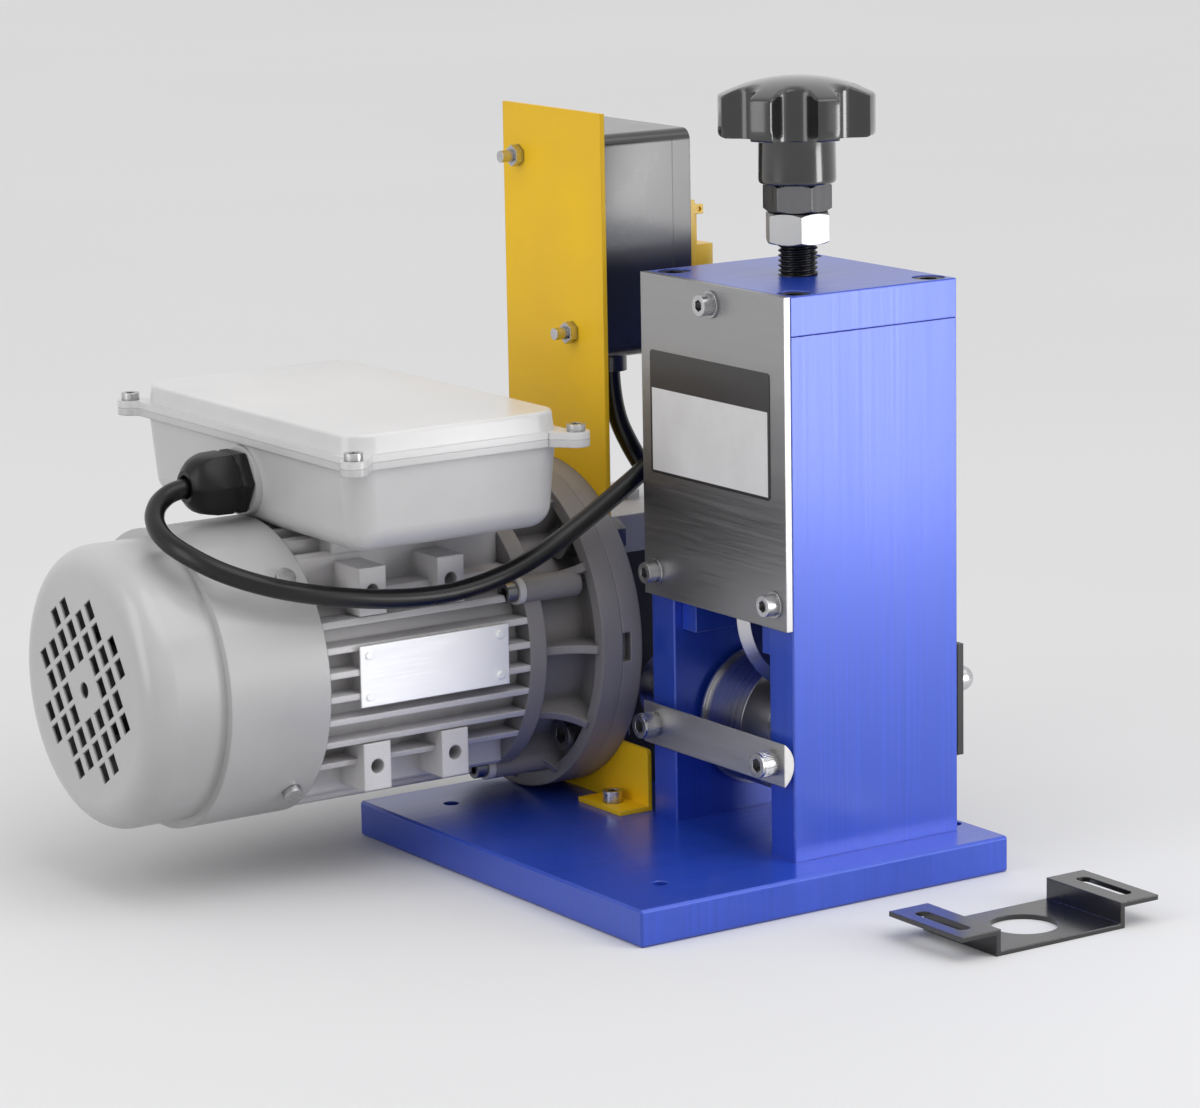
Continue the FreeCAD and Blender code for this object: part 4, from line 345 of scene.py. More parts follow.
def cast(name, colour, roughness, shadow=0.55):
    """Painted casting: sand grain in the metal, soft arrises and painted shade darkening its
    corners.
    """
    finish = Finish(name, colour, roughness)
    grain = finish.noise(1100, 4, 0.65)
    lumps = finish.noise(160, 3, 0.5, shift=3)
    cloud = finish.noise(22, 4, 0.6, shift=8)
    # Painted shade: ambient occlusion darkens corners and hollows towards a near-black copy of the
    # paint.
    hollow = finish.new("ShaderNodeAmbientOcclusion", samples=6)
    finish.put(hollow, Distance=0.006)
    painted_hollow_shade = finish.span(hollow.outputs["AO"], 0.35, 0.95, 1.0, 0.0)
    tint = finish.blend(finish.span(cloud, 0.3, 0.7), shade(colour, 0.9), shade(colour, 1.08))
    tint = finish.blend(finish.span(grain, 0.35, 0.65, 0.0, 0.3), tint, shade(colour, 0.82))
    tint = finish.blend(finish.sum_up(painted_hollow_shade, shadow, "MULTIPLY"), tint, shade(colour, 0.28))
    rim = finish.sum_up(finish.edges(0.001), finish.noise(300, 3, 0.6, shift=5), "MULTIPLY")
    tint = finish.blend(finish.span(rim, 0.25, 0.7, 0.0, 0.5), tint, shade(colour, 1.7))
    finish.colour(tint)
    finish.rough(finish.span(grain, 0.3, 0.7, roughness * 0.85, roughness * 1.2))
    finish.coat(0.2, 0.3)
    finish.relief(finish.sum_up(grain, finish.sum_up(lumps, 1.6, "MULTIPLY")), 0.00005, 0.0011)
    return finish.material


def brushed(name, colour, roughness, stretch, scale=1400, contrast=0.1, depth=0.000015):
    """Metal with a brushed or ground lay along one direction."""
    finish = Finish(name, colour, roughness, 1.0)
    lay = finish.noise(scale, 5, 0.65, stretch)
    broad = finish.noise(scale / 12, 3, 0.5, stretch, 4)
    tint = finish.blend(finish.span(lay, 0.3, 0.7), shade(colour, 1 - contrast),
                        shade(colour, 1 + contrast))
    tint = finish.blend(finish.span(broad, 0.35, 0.65, 0.0, 0.4), tint,
                        shade(colour, 1 - contrast * 1.5))
    finish.colour(tint)
    finish.rough(finish.span(lay, 0.3, 0.7, roughness * 0.8, roughness * 1.25))
    finish.relief(lay, depth, 0.0005)
    return finish.material


def plated(name, colour, roughness, smears=0.12):
    """Plated or bright fastener steel with faint smears and painted shade darkening its sockets.
    """
    finish = Finish(name, colour, roughness, 1.0)
    smear = finish.noise(260, 4, 0.6)
    # Painted shade: ambient occlusion darkens sockets and recesses towards a near-black copy of
    # the steel.
    hollow = finish.new("ShaderNodeAmbientOcclusion", samples=6)
    finish.put(hollow, Distance=0.003)
    painted_hollow_shade = finish.span(hollow.outputs["AO"], 0.3, 0.9, 0.85, 0.0)
    tint = finish.blend(finish.span(smear, 0.3, 0.7), shade(colour, 1 - smears),
                        shade(colour, 1 + smears / 2))
    tint = finish.blend(painted_hollow_shade, tint, shade(colour, 0.12))
    finish.colour(tint)
    finish.rough(finish.span(smear, 0.3, 0.7, roughness * (1 - smears * 2),
                             roughness * (1 + smears * 3)))
    finish.relief(finish.noise(2200, 3, 0.6, shift=2), smears * 0.0001, 0.0004)
    return finish.material


def moulded(name, colour, roughness, grain=1500, depth=0.00002, coat=0.0, worn=0.35, index=1.5):
    """Moulded plastic with a fine spark-eroded grain and rubbed edges."""
    finish = Finish(name, colour, roughness)
    skin = finish.noise(grain, 3, 0.55)
    cloud = finish.noise(30, 3, 0.5, shift=5)
    tint = finish.blend(finish.span(cloud, 0.3, 0.7), shade(colour, 0.85), shade(colour, 1.2))
    rim = finish.sum_up(finish.edges(0.0007), finish.noise(500, 3, 0.6, shift=6), "MULTIPLY")
    tint = finish.blend(finish.span(rim, 0.3, 0.7, 0.0, worn), tint,
                        tuple(each * 1.5 + 0.04 for each in colour))
    finish.colour(tint)
    finish.rough(finish.span(cloud, 0.3, 0.7, roughness * 0.85, roughness * 1.15))
    finish.put(finish.shader, IOR=index)
    if coat:
        finish.coat(coat, roughness * 0.6)
    finish.relief(skin, depth, 0.0006)
    return finish.material


def laminated(name, colour):
    """A stack of thin steel sheets across the motor's axis."""
    finish = Finish(name, colour, 0.42, 0.9)
    wave = finish.new("ShaderNodeTexWave", wave_type="BANDS", bands_direction="X")
    finish.put(wave, Vector=finish.place, Scale=320.0, Distortion=0.4)
    tint = finish.blend(wave.outputs["Fac"], shade(colour, 0.6), shade(colour, 1.15))
    finish.colour(tint)
    finish.relief(wave.outputs["Fac"], 0.00008)
    return finish.material


def assign(material, *names):
    """Put one material on every slot of the named nodes' objects."""
    for name in names:
        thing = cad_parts[name]
        if not thing.data.materials:
            thing.data.materials.append(material)
        for slot in thing.material_slots:
            slot.material = material


# ---------------------------------------------------------------- mesh helpers


def make_object(name, mesh, material, body, smooth=True):
    """Link a finished mesh as a piece that rides on a body."""
    thing = bpy.data.objects.new(name, mesh)
    bpy.context.scene.collection.objects.link(thing)
    mesh.materials.clear()
    mesh.materials.append(material)
    for face in mesh.polygons:
        face.use_smooth = smooth
    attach(thing, body)
    return thing


def loft(name, rings):
    """A closed skin over rings that all have the same number of points."""
    build = bmesh.new()
    rows = [[build.verts.new(Vector(point) * MM) for point in ring] for ring in rings]
    count = len(rings[0])
    for near, far in zip(rows, rows[1:]):
        for index in range(count):
            after = (index + 1) % count
            build.faces.new((near[index], near[after], far[after], far[index]))
    build.faces.new(list(reversed(rows[0])))
    build.faces.new(rows[-1])
    bmesh.ops.remove_doubles(build, verts=build.verts, dist=1e-7)
    bmesh.ops.recalc_face_normals(build, faces=build.faces)
    mesh = bpy.data.meshes.new(name)
    build.to_mesh(mesh)
    build.free()
    return mesh


def rounded_outline(width, height, radius, steps=6):
    """Points of a rectangle with round corners, counter-clockwise about its middle."""
    points = []
    for quarter, (side, rise) in enumerate(((1, 1), (-1, 1), (-1, -1), (1, -1))):
        middle_x = side * (width / 2 - radius)
        middle_y = rise * (height / 2 - radius)
        for step in range(steps + 1):
            angle = (quarter + step / steps) * math.pi / 2
            points.append((middle_x + radius * math.cos(angle),
                           middle_y + radius * math.sin(angle)))
    return points


def keep_sharp(thing, degrees):
    """Smooth shading that still breaks at sharp corners."""
    build = bmesh.new()
    build.from_mesh(thing.data)
    for edge in build.edges:
        if len(edge.link_faces) == 2 and edge.calc_face_angle() > math.radians(degrees):
            edge.smooth = False
    build.to_mesh(thing.data)
    build.free()


# ---------------------------------------------------------------- geometry node helpers


class Recipe(NodeWork):
    """A geometry node tree built by script, with named inputs, used once on a host mesh."""

    def __init__(self, name):
        self.tree = bpy.data.node_groups.new(name, "GeometryNodeTree")
        self.tree.interface.new_socket("Geometry", in_out="INPUT",
                                       socket_type="NodeSocketGeometry")
        self.tree.interface.new_socket("Geometry", in_out="OUTPUT",
                                       socket_type="NodeSocketGeometry")
        self.entry = self.tree.nodes.new("NodeGroupInput")
        self.exit = self.tree.nodes.new("NodeGroupOutput")
        self.values = {}

    def ask(self, name, kind, value):
        """A named input and the value that this use gives it."""
        socket = self.tree.interface.new_socket(name, in_out="INPUT", socket_type=kind)
        self.values[socket.identifier] = value
        return self.entry.outputs[name]

    def finish(self, name, host, geometry, material):
        """Realize what the tree makes on the host and return it as a plain mesh."""
        real = self.put(self.new("GeometryNodeRealizeInstances"), Geometry=geometry)
        skin = self.put(self.new("GeometryNodeSetMaterial"), Geometry=real.outputs[0],
                        Material=material)
        self.join(skin.outputs[0], self.exit.inputs[0])
        carrier = bpy.data.objects.new(name + "_host", host)
        bpy.context.scene.collection.objects.link(carrier)
        modifier = carrier.modifiers.new(name, "NODES")
        modifier.node_group = self.tree
        for identifier, value in self.values.items():
            modifier[identifier] = value
        graph = bpy.context.evaluated_depsgraph_get()
        mesh = bpy.data.meshes.new_from_object(carrier.evaluated_get(graph), depsgraph=graph)
        carrier.modifiers.remove(modifier)
        bpy.data.objects.remove(carrier)
        if not mesh.polygons:
            raise RuntimeError(f"{name} came out empty")
        return mesh


def points_mesh(name, points):
    mesh = bpy.data.meshes.new(name)
    mesh.from_pydata([Vector(point) * MM for point in points], [], [])
    return mesh


# ---------------------------------------------------------------- operators


class STRIPPER_OT_camera(bpy.types.Operator):
    """Set the camera on the exit side, a little above the machine"""

    bl_idname = "stripper.camera"
    bl_label = "Camera"
    target = (-0.01783, 0.02736, 0.124)
    distance = 1.821849
    turn = 0.586772
    lift = 0.2021495
    roll = -0.0183609

    def execute(self, context):
        studio = context.scene.stripper_studio
        lens = bpy.data.cameras.new("studio_camera")
        lens.sensor_width = 36
        lens.lens = studio.lens
        lens.clip_end = 50
        camera = bpy.data.objects.new("studio_camera", lens)
        context.scene.collection.objects.link(camera)
        turn, lift, roll = self.turn, self.lift, self.roll
        back = Vector((-math.sin(turn) * math.cos(lift), -math.cos(turn) * math.cos(lift),
                       math.sin(lift)))
        level = Vector((math.cos(turn), -math.sin(turn), 0))
        upright = back.cross(level)
        right = level * math.cos(roll) + upright * math.sin(roll)
        up = upright * math.cos(roll) - level * math.sin(roll)
        spot = Vector(self.target) + back * self.distance
        camera.matrix_world = Matrix(((right.x, up.x, back.x, spot.x),
                                      (right.y, up.y, back.y, spot.y),
                                      (right.z, up.z, back.z, spot.z), (0, 0, 0, 1)))
        context.scene.camera = camera
        return {"FINISHED"}


class STRIPPER_OT_cable(bpy.types.Operator):
    """Lay the motor cable from the gland round behind the tower into the switch box"""

    bl_idname = "stripper.cable"
    bl_label = "Motor cable"

    def execute(self, context):
        sizes = context.scene.stripper_sizes
        line = bpy.data.curves.new("motor_cable_jacket", "CURVE")
        line.dimensions = "3D"
        spline = line.splines.new("NURBS")
        spline.points.add(len(CABLE_ROUTE) - 1)
        for point, place in zip(spline.points, CABLE_ROUTE):
            point.co = (*place, 1)
        spline.order_u = 3
        spline.use_endpoint_u = True
        spline.resolution_u = 10
        line.bevel_depth = sizes.cable_diameter / 2
        line.bevel_resolution = 5
        line.use_fill_caps = True
        line.materials.append(moulded("cable_jacket", tone(12, 12, 12), 0.3, 2200, 0.000006,
                                      worn=0.1, index=1.45))
        cable = bpy.data.objects.new("motor_cable_jacket", line)
        context.scene.collection.objects.link(cable)
        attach(cable, "frame")
        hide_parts("motor_cable")
        return {"FINISHED"}


class STRIPPER_OT_tower_finishes(bpy.types.Operator):
    """Give the base, the tower, the guard and what works inside them their finishes"""

    bl_idname = "stripper.tower_finishes"
    bl_label = "Base and tower finishes"

    def execute(self, context):
        colours = context.scene.stripper_colours
        assign(anodised("blue_anodised_plate", tuple(colours.blue)),
               "base_plate", "near_side_plate", "far_side_plate", "tower_cap", "blade_carriage")
        assign(brushed("brushed_stainless_guard", (0.42, 0.42, 0.425), 0.34, (1, 0.015, 1), 1400,
                       0.05, 0.000004), "guard_plate")
        assign(brushed("ground_steel_bar", (0.62, 0.61, 0.6), 0.36, (1, 0.03, 1), 1000, 0.05,
                       0.000003), "exit_bar")
        assign(plated("bright_fastener", (0.62, 0.62, 0.63), 0.24, 0.06),
               "guard_screws", "exit_bar_screws", "feed_plate_screws")
        assign(plated("dark_fastener", (0.06, 0.06, 0.065), 0.35), "cap_screws", "base_screws")
        assign(painted("black_feed_plate", tone(26, 26, 28), 0.45), "feed_plate")
        assign(brushed("ground_steel", (0.55, 0.55, 0.57), 0.28, (1, 1, 0.03)),
               "guide_keys", "thrust_plate")
        assign(brushed("turned_steel", (0.55, 0.55, 0.56), 0.3, (0.01, 1, 0.01), 1200, 0.05,
                       0.000003), "drive_roller", "drive_shaft", "blade_shaft", "blade_collars")
        assign(brushed("blade_steel", (0.6, 0.6, 0.62), 0.3, (0.01, 1, 0.01), 900, 0.06,
                       0.000003), "blade_wheel")
        assign(brushed("bearing_bronze", (0.62, 0.4, 0.17), 0.3, (1, 0.05, 1)),
               "carriage_bushes")
        assign(plated("bearing_steel", (0.5, 0.5, 0.52), 0.2), "drive_bearings")
        return {"FINISHED"}


class STRIPPER_OT_drive_finishes(bpy.types.Operator):
    """Give the gearbox, the motor and the bracket their finishes"""

    bl_idname = "stripper.drive_finishes"
    bl_label = "Gearbox and motor finishes"

    def execute(self, context):
        colours = context.scene.stripper_colours
        light = tuple(colours.box_grey)
        barrel = tuple(colours.motor_grey)
        flange = tuple(colours.flange_grey_painted_shade)
        assign(cast("black_gearbox_casting", tone(28, 28, 29), 0.5), "gearbox_housing")
        assign(cast("light_cover_casting", tone(206, 206, 208), 0.45), "gearbox_cover")
        # Painted shade: flange and end shield use the darker, shaded copy of the motor grey.
        assign(cast("grey_flange_casting", shade(flange, 1.1), 0.46), "gearbox_flange")
        assign(cast("grey_shield_casting", flange, 0.46), "front_end_shield")
        assign(cast("grey_barrel_casting", barrel, 0.44, 0.4), "motor_housing")
        assign(cast("grey_rear_casting", barrel, 0.46), "rear_end_shield")
        assign(painted("grey_cover_paint", shade(light, 0.85), 0.32, 1100, 0.000015, 0.6, 0.1),
               "fan_cover")
        assign(painted("grey_box_paint", light, 0.34, 1000, 0.00002, 0.4, 0.1), "terminal_box")
        # Painted light: the box grey lightened for the lid, as though lit from above.
        assign(painted("grey_lid_paint_with_painted_top_light", shade(light, 1.2), 0.3, 1000, 0.000015, 0.5, 0.1),
               "terminal_box_lid")
        assign(painted("yellow_powder_coat", tuple(colours.yellow), 0.5, 1300, 0.00004, 0.08,
                       0.35, (0.5, 0.47, 0.4)), "motor_bracket")
        assign(brushed("blank_nameplate", (0.96, 0.96, 0.96), 0.6, (0.03, 1, 1), 1200, 0.01,
                       0.000002), "nameplate")
        assign(plated("zinc_fastener", (0.6, 0.6, 0.6), 0.28),
               "gearbox_cover_screws", "foot_screw", "lid_screws", "fan_cover_screws")
        assign(plated("dull_bolt", (0.3, 0.3, 0.31), 0.34), "flange_bolts", "shield_screws")
        assign(brushed("worm_steel", (0.5, 0.5, 0.52), 0.25, (1, 0.1, 0.1)), "worm")
        assign(brushed("wheel_bronze", (0.6, 0.4, 0.18), 0.32, (1, 0.1, 1)), "worm_wheel")
        assign(brushed("shaft_steel", (0.52, 0.52, 0.54), 0.22, (1, 0.1, 0.1)), "motor_shaft")
        assign(plated("motor_bearing_steel", (0.5, 0.5, 0.52), 0.2), "motor_bearings")
        assign(laminated("steel_laminations", (0.3, 0.3, 0.32)), "stator", "rotor_core")
        assign(moulded("fan_plastic", tone(40, 40, 42), 0.5), "cooling_fan")
        return {"FINISHED"}


class STRIPPER_OT_switch_finishes(bpy.types.Operator):
    """Give the switch box, its flap and buttons, the nuts and the loose bracket their finishes"""

    bl_idname = "stripper.switch_finishes"
    bl_label = "Switch and loose bracket finishes"

    def execute(self, context):
        colours = context.scene.stripper_colours
        assign(moulded("switch_box_plastic", tuple(colours.switch_black), 0.3, 1300, 0.000012,
                       0.8), "control_box", "control_box_lid")
        assign(moulded("switch_yellow_plastic", tone(228, 184, 30), 0.35, 1500, 0.000015, 0.3,
                       0.15), "switch_frame", "switch_flap")
        assign(moulded("green_button", tone(24, 140, 60), 0.3, 1500, 0.00001, 0.4, 0.1),
               "start_button")
        assign(moulded("red_button", tone(190, 24, 22), 0.3, 1500, 0.00001, 0.4, 0.1),
               "stop_button")
        assign(plated("box_bolt_steel", (0.6, 0.6, 0.61), 0.26), "control_box_bolts")
        assign(painted("black_bracket_paint", tone(24, 24, 25), 0.28, 1000, 0.00002, 0.6, 0.3),
               "loose_bracket")
        assign(brushed("jam_nut_steel", (0.2, 0.2, 0.205), 0.32, (1, 1, 0.05), 900, 0.05,
                       0.000003), "jam_nut")
        assign(plated("lock_nut_zinc", (0.42, 0.42, 0.42), 0.4, 0.03), "lock_nut")
        return {"FINISHED"}


class STRIPPER_OT_knob(bpy.types.Operator):
    """Model the star knob with rolled lobes, soft scallops and a domed crown"""

    bl_idname = "stripper.knob"
    bl_label = "Star knob"
    hub_length = 18.6
    dome_height = 7
    rim_radius = 31.5
    wall_slope = 170
    points_per_lobe = 40

    def execute(self, context):
        sizes = context.scene.stripper_sizes
        foot = KNOB_LOW.z
        crown = KNOB_HIGH.z
        rim_low = foot + self.hub_length
        rim_high = crown - self.dome_height
        radius = self.rim_radius
        profile = [(8.0, foot), (14.6, foot), (15.2, foot + 0.2), (15.6, foot + 0.8),
                   (15.7, foot + 2), (15.5, rim_low - 1.2), (15.8, rim_low - 0.4),
                   (16.6, rim_low), (22, rim_low + 0.1), (28, rim_low + 0.2),
                   (30.2, rim_low + 0.35), (31.1, rim_low + 0.8), (radius, rim_low + 1.7)]
        profile += [(radius, rim_low + 1.7 + (rim_high - rim_low - 2.6) * step / 4)
                    for step in range(1, 5)]
        profile += [(31.35, rim_high - 0.35), (30.9, rim_high + 0.15)]
        profile += [(radius * share, rim_high + self.dome_height * (1 - share ** 2.1))
                    for share in (0.94, 0.88, 0.8, 0.7, 0.58, 0.45, 0.3, 0.15, 0.04)]
        count = sizes.knob_lobes * self.points_per_lobe
        edges = [self.scallop(sizes, 2 * math.pi * index / count) for index in range(count)]
        rings = []
        for reach, height in profile:
            ring = []
            for index, edge in enumerate(edges):
                angle = 2 * math.pi * index / count
                softness = max(0.02, min(0.5, (reach - 17) / 10))
                length = min(reach, edge) - softness * math.log(
                    1 + math.exp(-abs(reach - edge) / softness))
                ring.append((ADJUST_X + length * math.cos(angle),
                             ADJUST_Y + length * math.sin(angle), height))
            rings.append(ring)
        black = moulded("knob_plastic", tuple(context.scene.stripper_colours.knob_black), 0.2,
                        1800, 0.000004, 1.0, 0.1)
        knob = make_object("star_knob", loft("star_knob", rings), black, "adjuster")
        keep_sharp(knob, 50)
        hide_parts("knob")
        return {"FINISHED"}

    def scallop(self, sizes, angle):
        """How far the scalloped edge lies from the knob's axis in one direction."""
        pitch = 2 * math.pi / sizes.knob_lobes
        off = abs((angle - sizes.knob_phase + pitch / 2) % pitch - pitch / 2)
        middle = sizes.knob_reach / MM
        radius = sizes.knob_scallop / MM
        aside = middle * math.sin(off)
        if aside < radius:
            return middle * math.cos(off) - math.sqrt(radius * radius - aside * aside)
        widest = math.asin(radius / middle)
        return middle * math.cos(widest) + (off - widest) * self.wall_slope


class STRIPPER_OT_thread(bpy.types.Operator):
    """Cut the helical thread of the adjusting screw"""

    bl_idname = "stripper.thread"
    bl_label = "Adjusting thread"
    crest = 8.0
    foot_thickness = 6
    neck_length = 7
    points_round = 36
    rings_per_turn = 6

    def execute(self, context):
        sizes = context.scene.stripper_sizes
        pitch = sizes.thread_pitch / MM
        depth = sizes.thread_depth / MM
        root = self.crest - depth
        low = SCREW_LOW.z
        high = SCREW_HIGH.z
        foot_top = low + self.foot_thickness
        neck_top = foot_top + self.neck_length
        rings = []

        def ring(height, radius_at):
            circle = []
            for index in range(self.points_round):
                angle = 2 * math.pi * index / self.points_round
                reach = radius_at(angle)
                circle.append((ADJUST_X + reach * math.cos(angle),
                               ADJUST_Y + reach * math.sin(angle), height))
            return circle

        for reach, height in ((6.6, low), (7.0, low + 0.4), (7.0, foot_top - 0.4),
                              (6.6, foot_top), (5.0, foot_top), (5.0, neck_top)):
            rings.append(ring(height, lambda angle, reach=reach: reach))
        start = neck_top + 0.3
        total = int((high - start) / pitch * self.rings_per_turn)
        for index in range(total + 1):
            height = start + index * pitch / self.rings_per_turn

            def flank(angle, height=height):
                share = ((height - start) / pitch - angle / (2 * math.pi)) % 1
                wave = abs(share * 2 - 1)
                level = max(0.0, min(1.0, (wave - 0.12) / 0.76))
                fade = min(1.0, (height - start) / 1.5, (high - height) / 1.2 + 0.3)
                return root + depth * level * fade
            rings.append(ring(height, flank))
        rings.append(ring(high, lambda angle: root - 0.4))
        steel = brushed("black_oxide_thread", (0.05, 0.05, 0.052), 0.36, (1, 1, 0.3), 1200, 0.25)
        screw = make_object("adjusting_thread", loft("adjusting_thread", rings), steel,
                            "adjuster")
        keep_sharp(screw, 60)
        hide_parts("adjusting_screw")
        return {"FINISHED"}


class STRIPPER_OT_gland(bpy.types.Operator):
    """Model the cable gland with its hexagon body, domed clamping nut and rubber lip"""

    bl_idname = "stripper.gland"
    bl_label = "Cable gland"
    shank_length = 10
    points_round = 72

    def execute(self, context):
        face = GLAND_HIGH.x - self.shank_length
        tip = GLAND_LOW.x

        def ring(x, reach, flatness):
            """A ring between a circle and a hexagon of the same corner radius."""
            circle = []
            for index in range(self.points_round):
                angle = 2 * math.pi * index / self.points_round
                local = angle % (math.pi / 3) - math.pi / 6
                hexagon = math.cos(math.pi / 6) / math.cos(local)
                length = reach * (1 + (hexagon - 1) * flatness)
                circle.append((x, GLAND_Y + length * math.cos(angle),
                               GLAND_Z + length * math.sin(angle)))
            return circle

        rings = [ring(x, reach, flatness) for x, reach, flatness in (
            (face + self.shank_length, 9.2, 0), (face + 9.6, 9.8, 0), (face + 0.1, 9.8, 0),
            (face, 12.8, 0.9), (face - 0.5, 13.6, 0.95), (face - 1, 13.9, 1),
            (face - 4.6, 13.9, 1), (face - 5.2, 13.6, 0.95), (face - 5.5, 12.9, 0.5),
            (face - 6, 12.9, 0.5), (face - 6.4, 13.6, 0.8), (face - 7.2, 13.9, 0.85),
            (face - 14, 13.7, 0.8), (face - 16.5, 13.1, 0.6), (face - 19, 12.1, 0.35),
            (face - 21.2, 10.8, 0.15), (face - 22.9, 9.2, 0), (face - 23.8, 8, 0),
            (tip + 0.6, 7.2, 0), (tip, 6.6, 0), (tip, 5, 0), (tip + 1, 4.3, 0),
            (tip + 9, 4.2, 0))]
        nylon = moulded("gland_nylon", tone(12, 12, 12), 0.36, 1800, 0.00001, worn=0.1,
                        index=1.4)
        gland = make_object("gland_body", loft("gland_body", rings), nylon, "frame")
        keep_sharp(gland, 40)
        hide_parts("cable_gland")
        return {"FINISHED"}


class STRIPPER_OT_panel(bpy.types.Operator):
    """Put the blank two-tone panel on the guard"""

    bl_idname = "stripper.panel"
    bl_label = "Blank panel"
    thickness = 0.35
    corner_radius = 1.6
    sharpest_corner = 0.4
    border_inside = 1.4
    border_outside = 1.2
    band_blur = 0.2

    def execute(self, context):
        sizes = context.scene.stripper_sizes
        width = sizes.panel_width / MM
        height = sizes.panel_height / MM
        top = sizes.panel_top / MM
        middle = sizes.panel_middle / MM
        centre = top - height / 2
        rings = []
        for proud, inset in ((0.0, 0.0), (0.25, 0.0), (self.thickness, 0.12),
                             (self.thickness, 1.2)):
            corner = max(self.sharpest_corner, self.corner_radius - inset)
            outline = rounded_outline(width - inset * 2, height - inset * 2, corner)
            rings.append([(GUARD_FACE - proud, middle + across, centre + up)
                          for across, up in outline])
        finish = Finish("blank_panel_film", tone(236, 235, 235), 0.32)
        parts = finish.new("ShaderNodeSeparateXYZ")
        finish.put(parts, Vector=finish.place)
        cross, rise = parts.outputs["Y"], parts.outputs["Z"]
        band = finish.span(rise, (top - sizes.panel_band / MM) * MM,
                           (top - sizes.panel_band / MM + self.band_blur) * MM)
        off = finish.new("ShaderNodeMath", operation="ABSOLUTE")
        finish.join(finish.sum_up(cross, middle * MM, "SUBTRACT"), off.inputs[0])
        side = finish.span(off.outputs[0], (width / 2 - self.border_inside) * MM,
                           (width / 2 - self.border_outside) * MM)
        lift = finish.new("ShaderNodeMath", operation="ABSOLUTE")
        finish.join(finish.sum_up(rise, centre * MM, "SUBTRACT"), lift.inputs[0])
        ends = finish.span(lift.outputs[0], (height / 2 - self.border_inside) * MM,
                           (height / 2 - self.border_outside) * MM)
        dark = finish.sum_up(finish.sum_up(side, ends, "MAXIMUM"), band, "MAXIMUM")
        cloud = finish.noise(40, 3, 0.5)
        pale = finish.blend(finish.span(cloud, 0.3, 0.7), tone(226, 225, 225),
                            tone(240, 239, 239))
        finish.colour(finish.blend(dark, pale, tone(46, 44, 45)))
        finish.coat(0.35, 0.15)
        finish.relief(finish.noise(700, 2, 0.5, shift=3), 0.00001, 0.0002)
        panel = make_object("guard_panel", loft("guard_panel", rings), finish.material, "frame",
                            False)
        keep_sharp(panel, 30)
        return {"FINISHED"}


class STRIPPER_OT_knurls(bpy.types.Operator):
    """Cut fine knurling round the heads of the exit bar's socket screws"""

    bl_idname = "stripper.knurls"
    bl_label = "Knurled screw heads"
    head_diameter = 10.0
    ridge_count = 40
    ridge_radius = 0.24
    ridge_length = 6.4
    ridge_setback = 4.3

    def execute(self, context):
        bright = plated("knurl_steel", (0.6, 0.6, 0.61), 0.24)
        low, high = node_box("exit_bar_screws")
        head_radius = self.head_diameter / 2
        middle_x = low.x + self.ridge_setback
        middle_z = (low.z + high.z) / 2
        places = [(middle_x, y, middle_z) for y in (low.y + head_radius, high.y - head_radius)]
        recipe = Recipe("knurl_ring")
        radius = recipe.ask("Radius", "NodeSocketFloat", head_radius * MM)
        length = recipe.ask("Length", "NodeSocketFloat", self.ridge_length * MM)
        count = recipe.ask("Count", "NodeSocketInt", self.ridge_count)
        ring = recipe.put(recipe.new("GeometryNodeMeshCircle"), Vertices=count, Radius=radius)
        ridge = recipe.put(recipe.new("GeometryNodeMeshCylinder"), Vertices=4, Side_Segments=1,
                           Radius=self.ridge_radius * MM, Depth=length)
        rims = recipe.put(recipe.new("GeometryNodeInstanceOnPoints"), Points=ring.outputs[0],
                          Instance=ridge.outputs[0])
        turned = recipe.put(recipe.new("GeometryNodeInstanceOnPoints"),
                            Points=recipe.entry.outputs["Geometry"], Instance=rims.outputs[0],
                            Rotation=(0, math.pi / 2, 0))
        host = points_mesh("knurl_points", places)
        mesh = recipe.finish("knurl_ring", host, turned.outputs[0], bright)
        make_object("exit_screw_knurls", mesh, bright, "frame", False)
        return {"FINISHED"}


